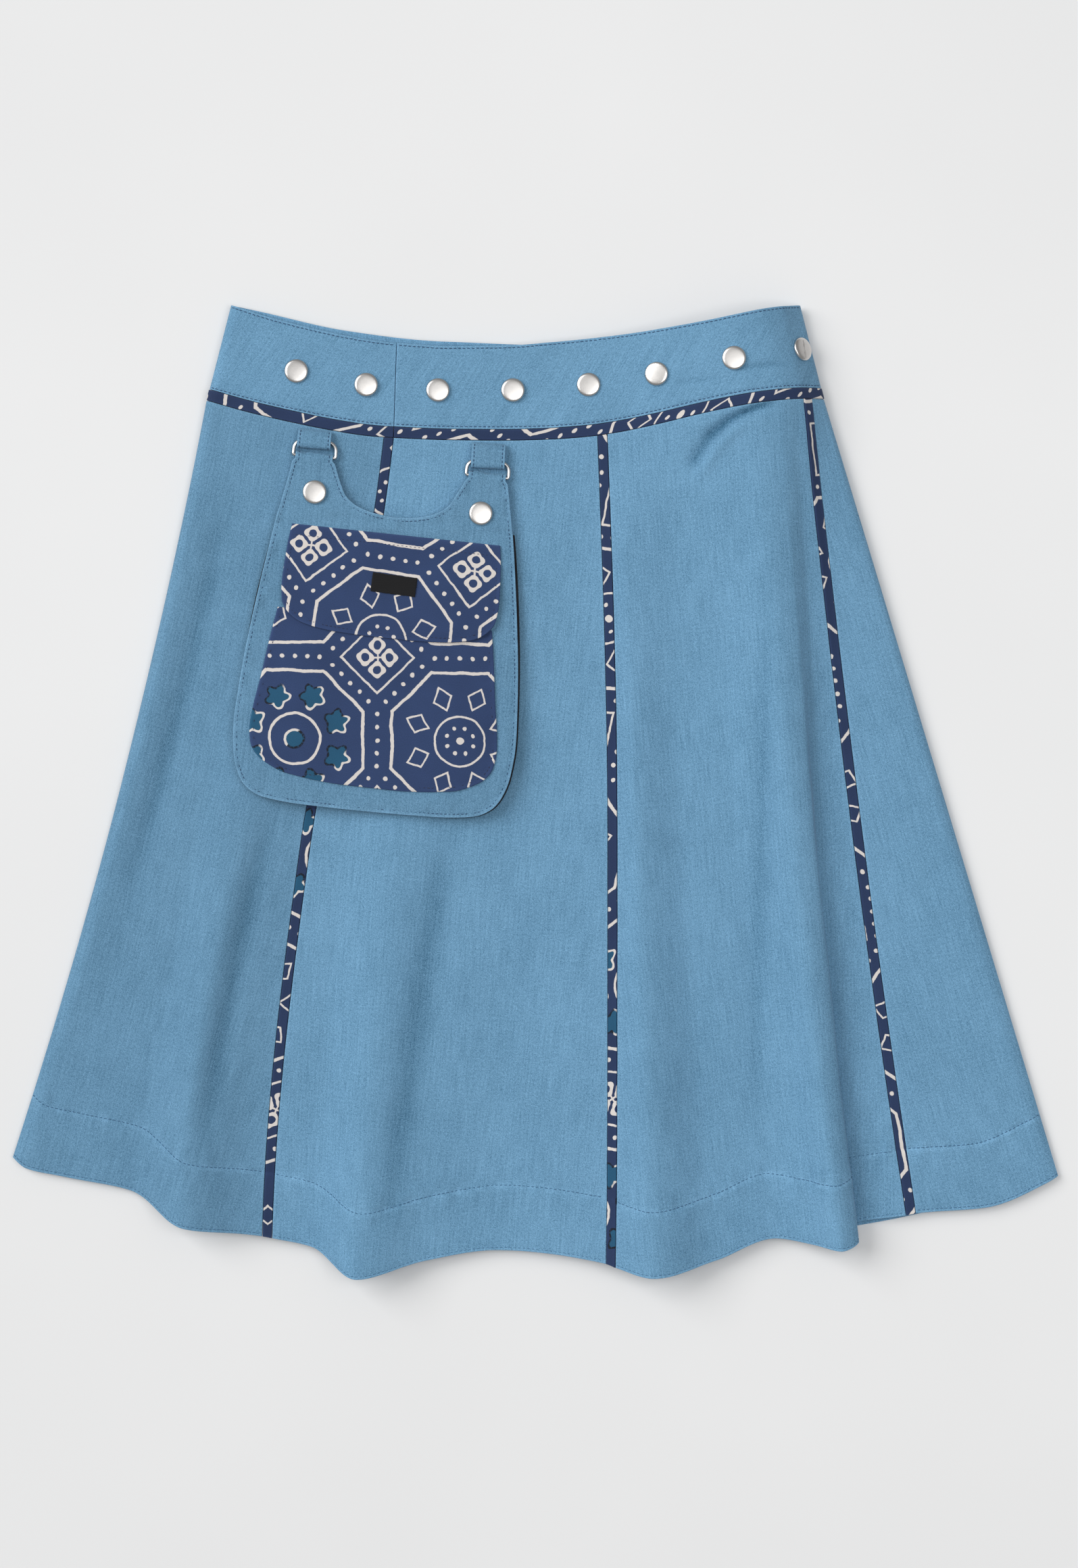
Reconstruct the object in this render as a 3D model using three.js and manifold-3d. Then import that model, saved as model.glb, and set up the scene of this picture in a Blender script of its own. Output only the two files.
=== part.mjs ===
// A knee-length wrap skirt of light blue denim, fastened and lying front up on a flat surface, with
// printed strips in its seams, a row of press studs on its waistband and a pouch that hangs from two rings.
// Millimetres. +X is to the right of the skirt as it lies, +Y points to the waistband, +Z is up.
// The origin is on the surface, under the middle of the skirt's outline.
import * as THREE from "three";
import { mergeVertices } from "three/addons/utils/BufferGeometryUtils.js";
import Module from "manifold-3d";

const wasm = await Module();
wasm.setup();

// Cloth and seams
const CLOTH = 1.2; // one thickness of denim
const BAND_CLOTH = 2; // waistband, folded and interfaced
const SEAM_GAP = 0.3; // between pieces that are sewn edge to edge
const STRIP_LIFT = 0.4; // how far a printed strip stands above the denim beside it
const TRIM_WIDTH = 7; // printed strip under the waistband
const LIE_GAP = 0.4; // between a piece and what it lies on

// Press studs
const STUD_RADIUS = 7.5;
const STUD_HEIGHT = 2.3;
const STUD_PITCH = 46;
const STUD_UP_BAND = 0.525; // share of the band's height, from its lower edge
const STUD_X = [-150.4, -106.7, -61.8, -14.8, 32.6, 75, 122.7, 165.6]; // on the front of the band
const STUDS_BEHIND = 4; // the row goes on behind, to the end of the outer flap

// Heights of the cloth's outer face behind the skirt
const BAND_REST = STUD_HEIGHT + SEAM_GAP; // the studs behind hold the band this far off the surface
const FLAP_WAIST = BAND_REST + BAND_CLOTH + SEAM_GAP; // inner flap, over the outer flap's band
const FLAP_HEM = CLOTH + SEAM_GAP; // inner flap, over the outer flap's denim

const rows = (columns, lines) =>
  lines.map((line) => Object.fromEntries(columns.split(" ").map((name, i) => [name, line[i]])));

// The skirt is one surface that runs round from the inner flap's free end, behind, to the left fold, across
// the front to the right fold, and on behind to the outer flap's free end. A rail is a line on it from waist
// to hem: along a seam, a fold's crest or the trough beside it. x and z are given at the waist seam, half way
// down and at the hem, and z is the height of the outer face. Where a seam swings, upperX is its x an eighth
// of the way down.
const RAILS = rows("rail waistX middleX hemX hemY waistZ middleZ hemZ upperX", [
  ["inner_end", 90, 118, 146, -278, FLAP_WAIST, FLAP_HEM, FLAP_HEM],
  ["inner_flat", 48, 58, 70, -284.5, FLAP_WAIST, FLAP_HEM, FLAP_HEM],
  ["over_edge", 5, -2, -9, -286.5, FLAP_WAIST, FLAP_HEM, FLAP_HEM],
  ["off_edge", -8, -15, -22, -286.5, BAND_REST, 0, 0],
  ["seam_1_start", -56, -42, -28, -286.2, BAND_REST, 0, 0],
  ["seam_1_end", -62, -48, -34, -286, BAND_REST, 0, 0],
  ["back_left", -125, -136, -147, -274, BAND_REST, 0, 0],
  ["seam_2_start", -187, -223, -259, -250, BAND_REST, 0, 0],
  ["seam_2_end", -193, -229, -265, -248.5, BAND_REST, 0, 0],
  ["left_under", -203, -253, -321, -233.5, BAND_REST, 0, 0],
  ["left_fold", -207, -260, -329, -230, 6.3, 4, 3.5],
  ["left_over", -201, -254, -321, -236.5, 10, 9, 6.5],
  ["left_crease", -183, -236, -298, -241.8, 10, 6.8, 6],
  ["trough_1", -150, -212, -255, -250.6, 10, 7.5, 5.5],
  ["crest_1", -123, -190, -220, -272.6, 10, 13, 24],
  ["after_1", -104, -154, -182, -277.6, 9.8, 9, 11, -113],
  ["seam_3_start", -95.6, -147.2, -171.7, -279, 9.6, 8.8, 10, -104.2],
  ["seam_3_end", -89.6, -141.2, -165.7, -280.2, 9.6, 8.8, 9.6, -98.2],
  ["trough_2", -75, -126, -141, -285.6, 9.5, 9.4, 8.5, -84.5],
  ["crest_2", -58, -90, -112, -304, 9.5, 14.4, 26],
  ["after_2", -20, -45, -70, -294, 9.8, 10, 12],
  ["trough_3", 8, -8, -25, -287.8, 10.5, 8.8, 8],
  ["seam_4_start", 38.2, 44.6, 43.4, -295.4, 12.4, 11.8, 16.5],
  ["seam_4_end", 44.2, 50.4, 49.2, -297.4, 13, 12.8, 18.5],
  ["crest_3", 54, 64, 73, -303.2, 14, 18, 27],
  ["after_3", 75, 94, 112, -293.8, 18, 10.8, 13],
  ["trough_4", 100, 122, 150, -280.4, 23.6, 11.5, 9],
  ["rise_4", 120, 140, 172, -283.5, 27.2, 17, 14],
  ["crest_4", 137, 160, 190, -286.6, 28.4, 25.5, 25],
  ["fold_4_edge", 150, 173, 201.5, -281.4, 27.2, 20, 16],
  ["fold_4_under", 156, 174, 188, -276, 25.6, 14, 8.5],
  ["trough_5", 161, 179, 197, -271.5, 23.4, 9.6, 5.8],
  ["seam_5_start", 166.5, 196, 231.8, -266.2, 20.3, 8, 6.6],
  ["seam_5_end", 172, 202, 237.8, -265, 15.2, 8, 6.6],
  ["right_flat", 176.5, 228, 282, -261.4, 10.8, 8.5, 6.2],
  ["right_over", 179.3, 248.3, 320.5, -246, 7.8, 7.4, 5.5],
  ["right_fold", 180.2, 254, 327.7, -242, 5.6, 4, 3],
  ["right_under", 177, 247, 320, -244, BAND_REST, 0, 0],
  ["back_right", 120, 186, 232, -267.5, BAND_REST, 0, 0],
  ["seam_6_start", 87, 141, 197, -274, BAND_REST, 0, 0],
  ["seam_6_end", 81, 135, 191, -275, BAND_REST, 0, 0],
  ["back_middle", 45, 65, 90, -284, BAND_REST, 0, 0],
  ["outer_end", 8, 1, -6, -286.5, BAND_REST, 0, 0],
]);
const railIndex = (name) => RAILS.findIndex((r) => r.rail === name);
const FIRST_FRONT = railIndex("left_fold");
const LAST_FRONT = railIndex("right_fold");

// Lower edge of the printed trim, where the panels begin
const WAIST_SEAM = rows("x y", [
  [-207, 245],
  [-151, 230.6],
  [-96, 221.8],
  [-30, 219.7],
  [20, 220.8],
  [57, 225.5],
  [97, 234],
  [138, 241.6],
  [180.2, 245.9],
]);
// Upper edge of the waistband, in front and behind
const FRONT_TOP = rows("x y", [
  [-191.7, 305],
  [-147, 291.6],
  [-90, 281.2],
  [-40, 278.6],
  [2, 280.8],
  [53, 285.6],
  [104, 292.8],
  [146, 301.4],
  [165.3, 305],
]);
const BACK_TOP = rows("x y", [
  [-191.7, 305],
  [-147, 295.6],
  [-90, 284],
  [-40, 281.7],
  [20, 279.6],
  [104, 291.4],
  [165.3, 304.6],
]);
// The band is cut on a curve, so it leans in: x at the waist seam against x at its upper edge
const BAND_LEAN = rows("low high", [
  [-207, -191.7],
  [-91.8, -89.7],
  [0, -1],
  [100, 92],
  [180.2, 165.3],
]);
const BAND_FLATTER = 0.96; // the front of the band lies this much lower at its upper edge

// Slopes of a smooth curve through points, which never swings past a point's value
function curveSlopes(t, y) {
  const n = t.length;
  const step = t.slice(1).map((b, i) => Math.max(b - t[i], 1e-9));
  const rise = step.map((h, i) => (y[i + 1] - y[i]) / h);
  const slope = new Array(n).fill(0);
  for (let i = 1; i < n - 1; i++) {
    if (rise[i - 1] * rise[i] <= 0) continue;
    const before = 2 * step[i] + step[i - 1];
    const after = step[i] + 2 * step[i - 1];
    slope[i] = (before + after) / (before / rise[i - 1] + after / rise[i]);
  }
  slope[0] = n > 2 ? endSlope(step[0], step[1], rise[0], rise[1]) : rise[0];
  slope[n - 1] = n > 2 ? endSlope(step[n - 2], step[n - 3], rise[n - 2], rise[n - 3]) : rise[0];
  return slope;
}

function endSlope(nearStep, farStep, nearRise, farRise) {
  const s = ((2 * nearStep + farStep) * nearRise - nearStep * farRise) / (nearStep + farStep);
  if (s * nearRise <= 0) return 0;
  if (nearRise * farRise <= 0 && Math.abs(s) > 3 * Math.abs(nearRise)) return 3 * nearRise;
  return s;
}

function curveValue(t, y, slope, i, share) {
  const h = t[i + 1] - t[i];
  const s = share;
  const a = (1 + 2 * s) * (1 - s) ** 2;
  const b = s * (1 - s) ** 2;
  const c = s * s * (3 - 2 * s);
  const d = s * s * (s - 1);
  return a * y[i] + b * h * slope[i] + c * y[i + 1] + d * h * slope[i + 1];
}

// The curve through the points t, y at one place, held at its ends
function curveAt(t, y, place) {
  if (place <= t[0]) return y[0];
  if (place >= t[t.length - 1]) return y[y.length - 1];
  const i = t.findIndex((v) => v > place) - 1;
  return curveValue(t, y, curveSlopes(t, y), i, (place - t[i]) / (t[i + 1] - t[i]));
}

function onCurve(table, place, from = "x", to = "y") {
  const column = (name) => table.map((r) => r[name]);
  return curveAt(column(from), column(to), place);
}

// A rail's point at v: 0 at the waist seam, 1 at the hem, -1 at the band's upper edge
function railPoint(index, v) {
  const r = RAILS[index];
  const waistY = onCurve(WAIST_SEAM, r.waistX);
  if (v >= 0) {
    const x = curveAt(
      [0, r.upperX === undefined ? [] : 0.125, 0.5, 1].flat(),
      [r.waistX, r.upperX ?? [], r.middleX, r.hemX].flat(),
      v,
    );
    const z = curveAt([0, 0.5, 1], [r.waistZ, r.middleZ, r.hemZ], v);
    return new THREE.Vector3(x, waistY + (r.hemY - waistY) * v, z);
  }
  const front = index >= FIRST_FRONT && index <= LAST_FRONT;
  const topX = onCurve(BAND_LEAN, r.waistX, "low", "high");
  const top = new THREE.Vector3(
    topX,
    onCurve(front ? FRONT_TOP : BACK_TOP, topX),
    r.waistZ * (front ? BAND_FLATTER : 1),
  );
  return new THREE.Vector3(r.waistX, waistY, r.waistZ).lerp(top, -v);
}

// The cloth's line across all rails at v, with each coordinate a smooth curve along the line's length
const crossLines = new Map();
function crossLine(v) {
  const key = v.toFixed(6);
  if (!crossLines.has(key)) {
    const points = RAILS.map((_, i) => railPoint(i, v));
    const t = [0];
    points.slice(1).forEach((p, i) => t.push(t[i] + Math.max(p.distanceTo(points[i]), 1e-6)));
    const axes = ["x", "y", "z"].map((axis) => {
      const y = points.map((p) => p[axis]);
      return { y, slope: curveSlopes(t, y) };
    });
    crossLines.set(key, { t, axes });
  }
  return crossLines.get(key);
}

// Point of the outer face at u, counted in rails, and v
function surface(u, v) {
  const { t, axes } = crossLine(v);
  const i = Math.min(Math.max(Math.floor(u), 0), RAILS.length - 2);
  const [x, y, z] = axes.map(({ y: values, slope }) => curveValue(t, values, slope, i, u - i));
  return new THREE.Vector3(x, y, Math.max(z, 0));
}

const NUDGE = 0.02;
function outward(u, v) {
  const last = RAILS.length - 1;
  const across = surface(Math.min(u + NUDGE, last), v).sub(surface(Math.max(u - NUDGE, 0), v));
  const up = Math.max(v - NUDGE, v >= 0 ? 0 : -1);
  const down = surface(u, Math.min(v + NUDGE, v >= 0 ? 1 : 0)).sub(surface(u, up));
  return down.cross(across).normalize();
}

// u on the front of the skirt where the cloth is at x
function frontAt(x, v) {
  let low = FIRST_FRONT;
  let high = LAST_FRONT;
  for (let i = 0; i < 40; i++) {
    const middle = (low + high) / 2;
    if (surface(middle, v).x < x) low = middle;
    else high = middle;
  }
  return low;
}

// A closed body between two grids of points with the same rows and columns, the first one facing out
function body(outer, inner) {
  const lines = outer.length;
  const count = outer[0].length;
  const position = [...outer.flat(), ...inner.flat()].flatMap((p) => p.toArray());
  const index = [];
  const at = (side, j, i) => side * lines * count + j * count + i;
  const quad = (a, b, c, d) => index.push(a, b, c, a, c, d);
  for (let j = 0; j + 1 < lines; j++) {
    for (let i = 0; i + 1 < count; i++) {
      quad(at(0, j, i), at(0, j + 1, i), at(0, j + 1, i + 1), at(0, j, i + 1));
      quad(at(1, j, i), at(1, j, i + 1), at(1, j + 1, i + 1), at(1, j + 1, i));
    }
  }
  for (let i = 0; i + 1 < count; i++) {
    quad(at(0, 0, i), at(0, 0, i + 1), at(1, 0, i + 1), at(1, 0, i));
    quad(at(0, lines - 1, i + 1), at(0, lines - 1, i), at(1, lines - 1, i), at(1, lines - 1, i + 1));
  }
  for (let j = 0; j + 1 < lines; j++) {
    quad(at(0, j + 1, 0), at(0, j, 0), at(1, j, 0), at(1, j + 1, 0));
    quad(at(0, j, count - 1), at(0, j + 1, count - 1), at(1, j + 1, count - 1), at(1, j, count - 1));
  }
  const geometry = new THREE.BufferGeometry();
  geometry.setAttribute("position", new THREE.Float32BufferAttribute(position, 3));
  return geometry.setIndex(index);
}

// u values between two rails, with steps about as long as asked for at v
function columnsBetween(from, to, stepMm, v) {
  const { t } = crossLine(v);
  const us = [from];
  for (let i = from; i < to; i++) {
    const parts = Math.max(1, Math.round((t[i + 1] - t[i]) / stepMm));
    for (let k = 1; k <= parts; k++) us.push(i + k / parts);
  }
  return us;
}

// A cloth piece between two rails and two heights, its edges drawn in by half a seam's gap
function clothPiece({ from, to, top, bottom, lines, stepMm, thick, lift = 0 }) {
  const start = railIndex(from);
  const end = railIndex(to);
  const us = columnsBetween(start, end, stepMm, Math.max(bottom, 0));
  const lengthDown = surface((start + end) / 2, top).distanceTo(surface((start + end) / 2, bottom));
  const edgeV = ((bottom - top) * SEAM_GAP) / 2 / lengthDown;
  const outer = [];
  const inner = [];
  for (let j = 0; j <= lines; j++) {
    const v = top + edgeV + ((bottom - top - 2 * edgeV) * j) / lines;
    const { t } = crossLine(v);
    const edgeU = (i) => SEAM_GAP / 2 / (t[i + 1] - t[i]);
    const ends = [start + edgeU(start), end - edgeU(end - 1)];
    const line = us.map((u) => Math.min(Math.max(u, ends[0]), ends[1]));
    outer.push(line.map((u) => surface(u, v).addScaledVector(outward(u, v), liftOn(u, lift))));
    inner.push(line.map((u) => surface(u, v).addScaledVector(outward(u, v), liftOn(u, lift) - thick)));
  }
  return body(outer, inner);
}

// Behind the folds nothing stands proud, because the skirt lies on that side
function liftOn(u, lift) {
  return u > FIRST_FRONT && u < LAST_FRONT ? lift : 0;
}

const DENIM = new THREE.MeshStandardMaterial({ color: 0x6b98b6, roughness: 0.9, metalness: 0 });
const PRINT = new THREE.MeshStandardMaterial({ color: 0x2f3f6e, roughness: 0.85, metalness: 0 });
const LINING = new THREE.MeshStandardMaterial({ color: 0x15171c, roughness: 0.9, metalness: 0 });
const STEEL = new THREE.MeshStandardMaterial({ color: 0xc9c7c4, roughness: 0.28, metalness: 1 });

const skirt = new THREE.Group();
function add(group, name, geometry, material) {
  const mesh = new THREE.Mesh(geometry, material);
  mesh.name = name;
  group.add(mesh);
  return mesh;
}

// Seven gores of denim and the six printed strips between them
const FRONT_STEP = 9;
const BACK_STEP = 40;
const FRONT_LINES = 13;
const BACK_LINES = 7;
const GORES = rows("name from to stepMm lines", [
  ["gore_1_inner_flap", "inner_end", "seam_1_start", BACK_STEP, BACK_LINES],
  ["gore_2_back_left", "seam_1_end", "seam_2_start", BACK_STEP, BACK_LINES],
  ["gore_3_left", "seam_2_end", "seam_3_start", FRONT_STEP, FRONT_LINES],
  ["gore_4_front_left", "seam_3_end", "seam_4_start", FRONT_STEP, FRONT_LINES],
  ["gore_5_front_right", "seam_4_end", "seam_5_start", FRONT_STEP, FRONT_LINES + 3],
  ["gore_6_right", "seam_5_end", "seam_6_start", FRONT_STEP * 2, FRONT_LINES],
  ["gore_7_outer_flap", "seam_6_end", "outer_end", BACK_STEP, BACK_LINES],
]);
for (const { name, from, to, stepMm, lines } of GORES) {
  const gore = clothPiece({ from, to, top: 0, bottom: 1, lines, stepMm, thick: CLOTH });
  add(skirt, name, gore, DENIM);
}
for (let seam = 1; seam <= GORES.length - 1; seam++) {
  const strip = clothPiece({
    from: `seam_${seam}_start`,
    to: `seam_${seam}_end`,
    top: 0,
    bottom: 1,
    lines: FRONT_LINES,
    stepMm: FRONT_STEP,
    thick: CLOTH,
    lift: STRIP_LIFT,
  });
  add(skirt, `strip_${seam}`, strip, PRINT);
}

// Waistband and the trim under it, each in two lengths that meet at the seam beside the first studs
const BAND_STEP = 11;
const BAND_LINES = 3;
const BAND_MIDDLE = railPoint(railIndex("trough_3"), 0).distanceTo(railPoint(railIndex("trough_3"), -1));
const TRIM_TOP = -TRIM_WIDTH / BAND_MIDDLE;
const BAND_LENGTHS = rows("side from to", [
  ["left", "inner_end", "seam_3_end"],
  ["right", "seam_3_end", "outer_end"],
]);
for (const { side, from, to } of BAND_LENGTHS) {
  const common = { from, to, stepMm: BAND_STEP };
  const band = clothPiece({ ...common, top: -1, bottom: TRIM_TOP, lines: BAND_LINES, thick: BAND_CLOTH });
  const trim = clothPiece({ ...common, top: TRIM_TOP, bottom: 0, lines: 1, thick: CLOTH, lift: STRIP_LIFT });
  add(skirt, `band_${side}`, band, DENIM);
  add(skirt, `trim_${side}`, trim, PRINT);
}

// Press stud cap: a low dome with a rolled edge, its flat back at z 0
const STUD_SIDES = 18;
function studCap() {
  const shape = rows("radius height", [
    [0, 0],
    [0.97, 0],
    [1, 0.3],
    [0.95, 0.65],
    [0.8, 0.88],
    [0, 1],
  ]);
  const profile = shape.map((p) => new THREE.Vector2(p.radius * STUD_RADIUS, p.height * STUD_HEIGHT));
  return new THREE.LatheGeometry(profile, STUD_SIDES).rotateX(Math.PI / 2);
}

function placeStud(name, u) {
  const stud = add(skirt, name, studCap(), STEEL);
  const normal = outward(u, -STUD_UP_BAND);
  stud.position.copy(surface(u, -STUD_UP_BAND)).addScaledVector(normal, SEAM_GAP);
  stud.quaternion.setFromUnitVectors(new THREE.Vector3(0, 0, 1), normal);
}
STUD_X.forEach((x, i) => placeStud(`stud_${i + 1}`, frontAt(x, -STUD_UP_BAND)));

// u at a length along the band from another u
function furtherAlong(u, lengthMm) {
  let left = lengthMm;
  let at = u;
  const hop = 0.01;
  while (left > 0 && at < RAILS.length - 1) {
    left -= surface(at, -STUD_UP_BAND).distanceTo(surface(at + hop, -STUD_UP_BAND));
    at += hop;
  }
  return at;
}
const lastInFront = frontAt(STUD_X[STUD_X.length - 1], -STUD_UP_BAND);
for (let i = 1; i <= STUDS_BEHIND; i++) {
  placeStud(`stud_${STUD_X.length + i}`, furtherAlong(lastInFront, STUD_PITCH * i));
}

// The pouch, drawn in its own frame: the origin is half way between its two rings' bars, x runs across it
// and y up it. down is a distance below the origin and half is half a width there.
const POUCH = { x: -84.9, y: 203, z: 10.3, spin: -5.5, rise: 4.9 };
const OUTLINE = rows("down half", [
  [4, 67.8],
  [18, 70.3],
  [40, 74.5],
  [65, 78.3],
  [93, 82.1],
  [120, 85.3],
  [148, 87.5],
  [168, 88.4],
  [188, 86.6],
  [200, 82.9],
  [208, 77.4],
  [213.7, 66.5],
  [216.2, 44],
  [216.9, 0],
]);
const NECK = rows("down half", [
  [4, 40.8],
  [14, 36.4],
  [22, 32],
  [28, 23.4],
  [31.4, 10],
  [32.2, 0],
]);
const POCKET = rows("down half", [
  [96, 67.2],
  [118, 70.6],
  [142, 73.8],
  [160, 76.6],
  [171, 77.5],
  [182, 76],
  [189, 71.5],
  [194, 64],
  [198.5, 52],
  [202, 12],
]);
const FLAP = rows("down half", [
  [43, 65.2],
  [56, 66.9],
  [80, 68.1],
  [91, 67],
  [98.5, 62.3],
  [104.2, 52.5],
  [107.3, 34],
  [108.2, 12],
]);
const BODY_BELOW = 36; // the dark backing starts here, under the neck
const BACKING = { low: LIE_GAP, thick: 2.2, proud: 0.9 };
const FACE = { low: 2.9, thick: 1.6 };
// The pocket and its flap bulge by crown at their middle. shift is how far their middle lies right of the
// pouch's, slope is their rise to the right, and the flap's free edge rises by lap, over the pocket's mouth.
const ON_FACE = FACE.low + FACE.thick + SEAM_GAP;
const POCKET_SHELL = { table: POCKET, shift: -0.6, crown: 2.6, lap: 0, slope: -0.016 };
const FLAP_SHELL = { table: FLAP, shift: 1.4, crown: 1.6, lap: 3.2, slope: -0.011 };
const LABEL = { x: 3.2, down: 74.6, width: 28, height: 12, turn: -2.3, thick: 0.8 };
const STRAP_X = 54.4;
const RING_SKEW = 1.1; // the left ring sits this much higher in the pouch's frame, and the right one lower
const STRAP_WIDTH = 23.4;
const STRAP_STUDS = rows("side x down", [
  ["left", -51.9, 21.4],
  ["right", 52.7, 24.7],
]);

const pouch = new THREE.Group();
pouch.position.set(POUCH.x, POUCH.y, POUCH.z);
pouch.rotation.order = "ZYX";
pouch.rotation.set(-Math.atan(POUCH.rise / 218), 0, THREE.MathUtils.degToRad(POUCH.spin));
skirt.add(pouch);

// A flat piece with a symmetrical outline, cut from one down value to its foot
function halfOutline(table, from = table[0].down) {
  const start = { down: from, half: onCurve(table, from, "down", "half") };
  return [start, ...table.filter((r) => r.down > from)];
}

function plate(right, left, low, thick) {
  const shape = new THREE.Shape([...right, ...left].map(([x, y]) => new THREE.Vector2(x, y)));
  return new THREE.ExtrudeGeometry(shape, { depth: thick, bevelEnabled: false }).translate(0, 0, low);
}

function backing() {
  const half = halfOutline(OUTLINE, BODY_BELOW).filter((r) => r.half > 1);
  const right = half.map((r) => [r.half + (r.down < 200 ? BACKING.proud : 0), -r.down]);
  const left = half.map((r) => [-r.half, -r.down]).reverse();
  return plate(right.reverse(), left.reverse(), BACKING.low, BACKING.thick);
}

// Profiles in a plane across a strap: along it, and height over what it lies on
const WIRE = 1.2; // radius of a ring's wire
const WIRE_HEIGHT = 2.9;
const TURN_OUT = 2.5; // outer radius of a strap's turn round the wire

// The end of a strap, turned round the ring's bar and back under itself
function strapTurn() {
  const tail = -29;
  const shape = new THREE.Shape();
  const layer = TURN_OUT - WIRE - SEAM_GAP;
  shape.moveTo(tail, LIE_GAP);
  shape.lineTo(0, LIE_GAP);
  shape.absarc(0, WIRE_HEIGHT, TURN_OUT, -Math.PI / 2, Math.PI / 2, false);
  shape.lineTo(-5, WIRE_HEIGHT + TURN_OUT - 0.3);
  shape.lineTo(-12, FACE.low + FACE.thick - 0.1);
  shape.lineTo(-12, FACE.low + 0.1);
  shape.lineTo(-5, WIRE_HEIGHT + TURN_OUT - layer - 0.3);
  shape.lineTo(0, WIRE_HEIGHT + TURN_OUT - layer);
  shape.absarc(0, WIRE_HEIGHT, TURN_OUT - layer, Math.PI / 2, -Math.PI / 2, true);
  shape.lineTo(tail, LIE_GAP + layer);
  return acrossStrap(shape, STRAP_WIDTH);
}

// A profile drawn along a strap, given the strap's width. Its first coordinate becomes y and its second z.
function acrossStrap(shape, width) {
  const solid = new THREE.ExtrudeGeometry(shape, { depth: width, bevelEnabled: false, curveSegments: 6 });
  const axes = new THREE.Matrix4().makeBasis(
    new THREE.Vector3(0, 1, 0),
    new THREE.Vector3(0, 0, 1),
    new THREE.Vector3(1, 0, 0),
  );
  return solid.translate(0, 0, -width / 2).applyMatrix4(axes);
}

function toSolid(geometry) {
  const bare = geometry.clone().deleteAttribute("normal").deleteAttribute("uv");
  const merged = mergeVertices(bare, 1e-4);
  return new wasm.Manifold(
    new wasm.Mesh({
      numProp: 3,
      vertProperties: new Float32Array(merged.attributes.position.array),
      triVerts: new Uint32Array(merged.index.array),
    }),
  );
}

function toGeometry(solid) {
  const mesh = solid.getMesh();
  const geometry = new THREE.BufferGeometry();
  geometry.setAttribute("position", new THREE.Float32BufferAttribute(mesh.vertProperties, 3));
  return geometry.setIndex([...mesh.triVerts]);
}

// The pouch's denim face with its neck cut out, and both straps turned round their rings
function pouchFace() {
  const outline = halfOutline(OUTLINE);
  const neck = halfOutline(NECK);
  const right = outline.filter((r) => r.half > 0).map((r) => [r.half, -r.down]);
  const left = right.map(([x, y]) => [-x, y]).reverse();
  const neckLeft = neck.filter((r) => r.half > 0).map((r) => [-r.half, -r.down]);
  const neckRight = neckLeft.map(([x, y]) => [-x, y]).reverse();
  const face = plate([...neckRight, ...right], [...left, ...neckLeft], FACE.low, FACE.thick);
  const turns = [-1, 1].map((side) => toSolid(strapTurn().translate(side * STRAP_X, -side * RING_SKEW, 0)));
  return toGeometry(turns.reduce((all, turn) => all.add(turn), toSolid(face)));
}

// A point on the underside of a crowned shell, from its down value and side, -1 to 1 across it
function shellPoint({ table, shift, crown, lap, slope }, side, down, lift = 0) {
  const half = onCurve(table, down, "down", "half");
  const along = (down - table[0].down) / (table[table.length - 1].down - table[0].down);
  const bulge = crown * Math.sqrt(Math.max(Math.sin(Math.PI * along), 0)) * (1 - side ** 4);
  const across = side * half;
  return new THREE.Vector3(shift + across, slope * across - down, ON_FACE + bulge + lap * along + lift);
}

const SHELL_ACROSS = 10;
const SHELL_BETWEEN = 2;
function shell(form) {
  const downs = form.table.flatMap(({ down }, i) => {
    const next = form.table[i + 1];
    if (!next) return [down];
    const step = (next.down - down) / SHELL_BETWEEN;
    return Array.from({ length: SHELL_BETWEEN }, (_, k) => down + step * k);
  });
  const sides = Array.from({ length: SHELL_ACROSS + 1 }, (_, i) => (2 * i) / SHELL_ACROSS - 1);
  const grid = (lift) => downs.map((down) => sides.map((side) => shellPoint(form, side, down, lift)));
  return body(grid(CLOTH), grid(0));
}

// The label, its corners set on the flap's own surface
function labelOn(form) {
  const turn = THREE.MathUtils.degToRad(LABEL.turn);
  const corner = (across, up, lift) => {
    const x = LABEL.x + (across * Math.cos(turn) - up * Math.sin(turn)) / 2;
    const lower = LABEL.down - (across * Math.sin(turn) + up * Math.cos(turn)) / 2;
    const down = lower + form.slope * (x - form.shift);
    const side = (x - form.shift) / onCurve(form.table, down, "down", "half");
    return shellPoint(form, side, down, CLOTH + SEAM_GAP + lift);
  };
  const grid = (lift) =>
    [1, -1].map((up) => [-1, 1].map((across) => corner(across * LABEL.width, up * LABEL.height, lift)));
  return body(grid(LABEL.thick), grid(0));
}

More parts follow.
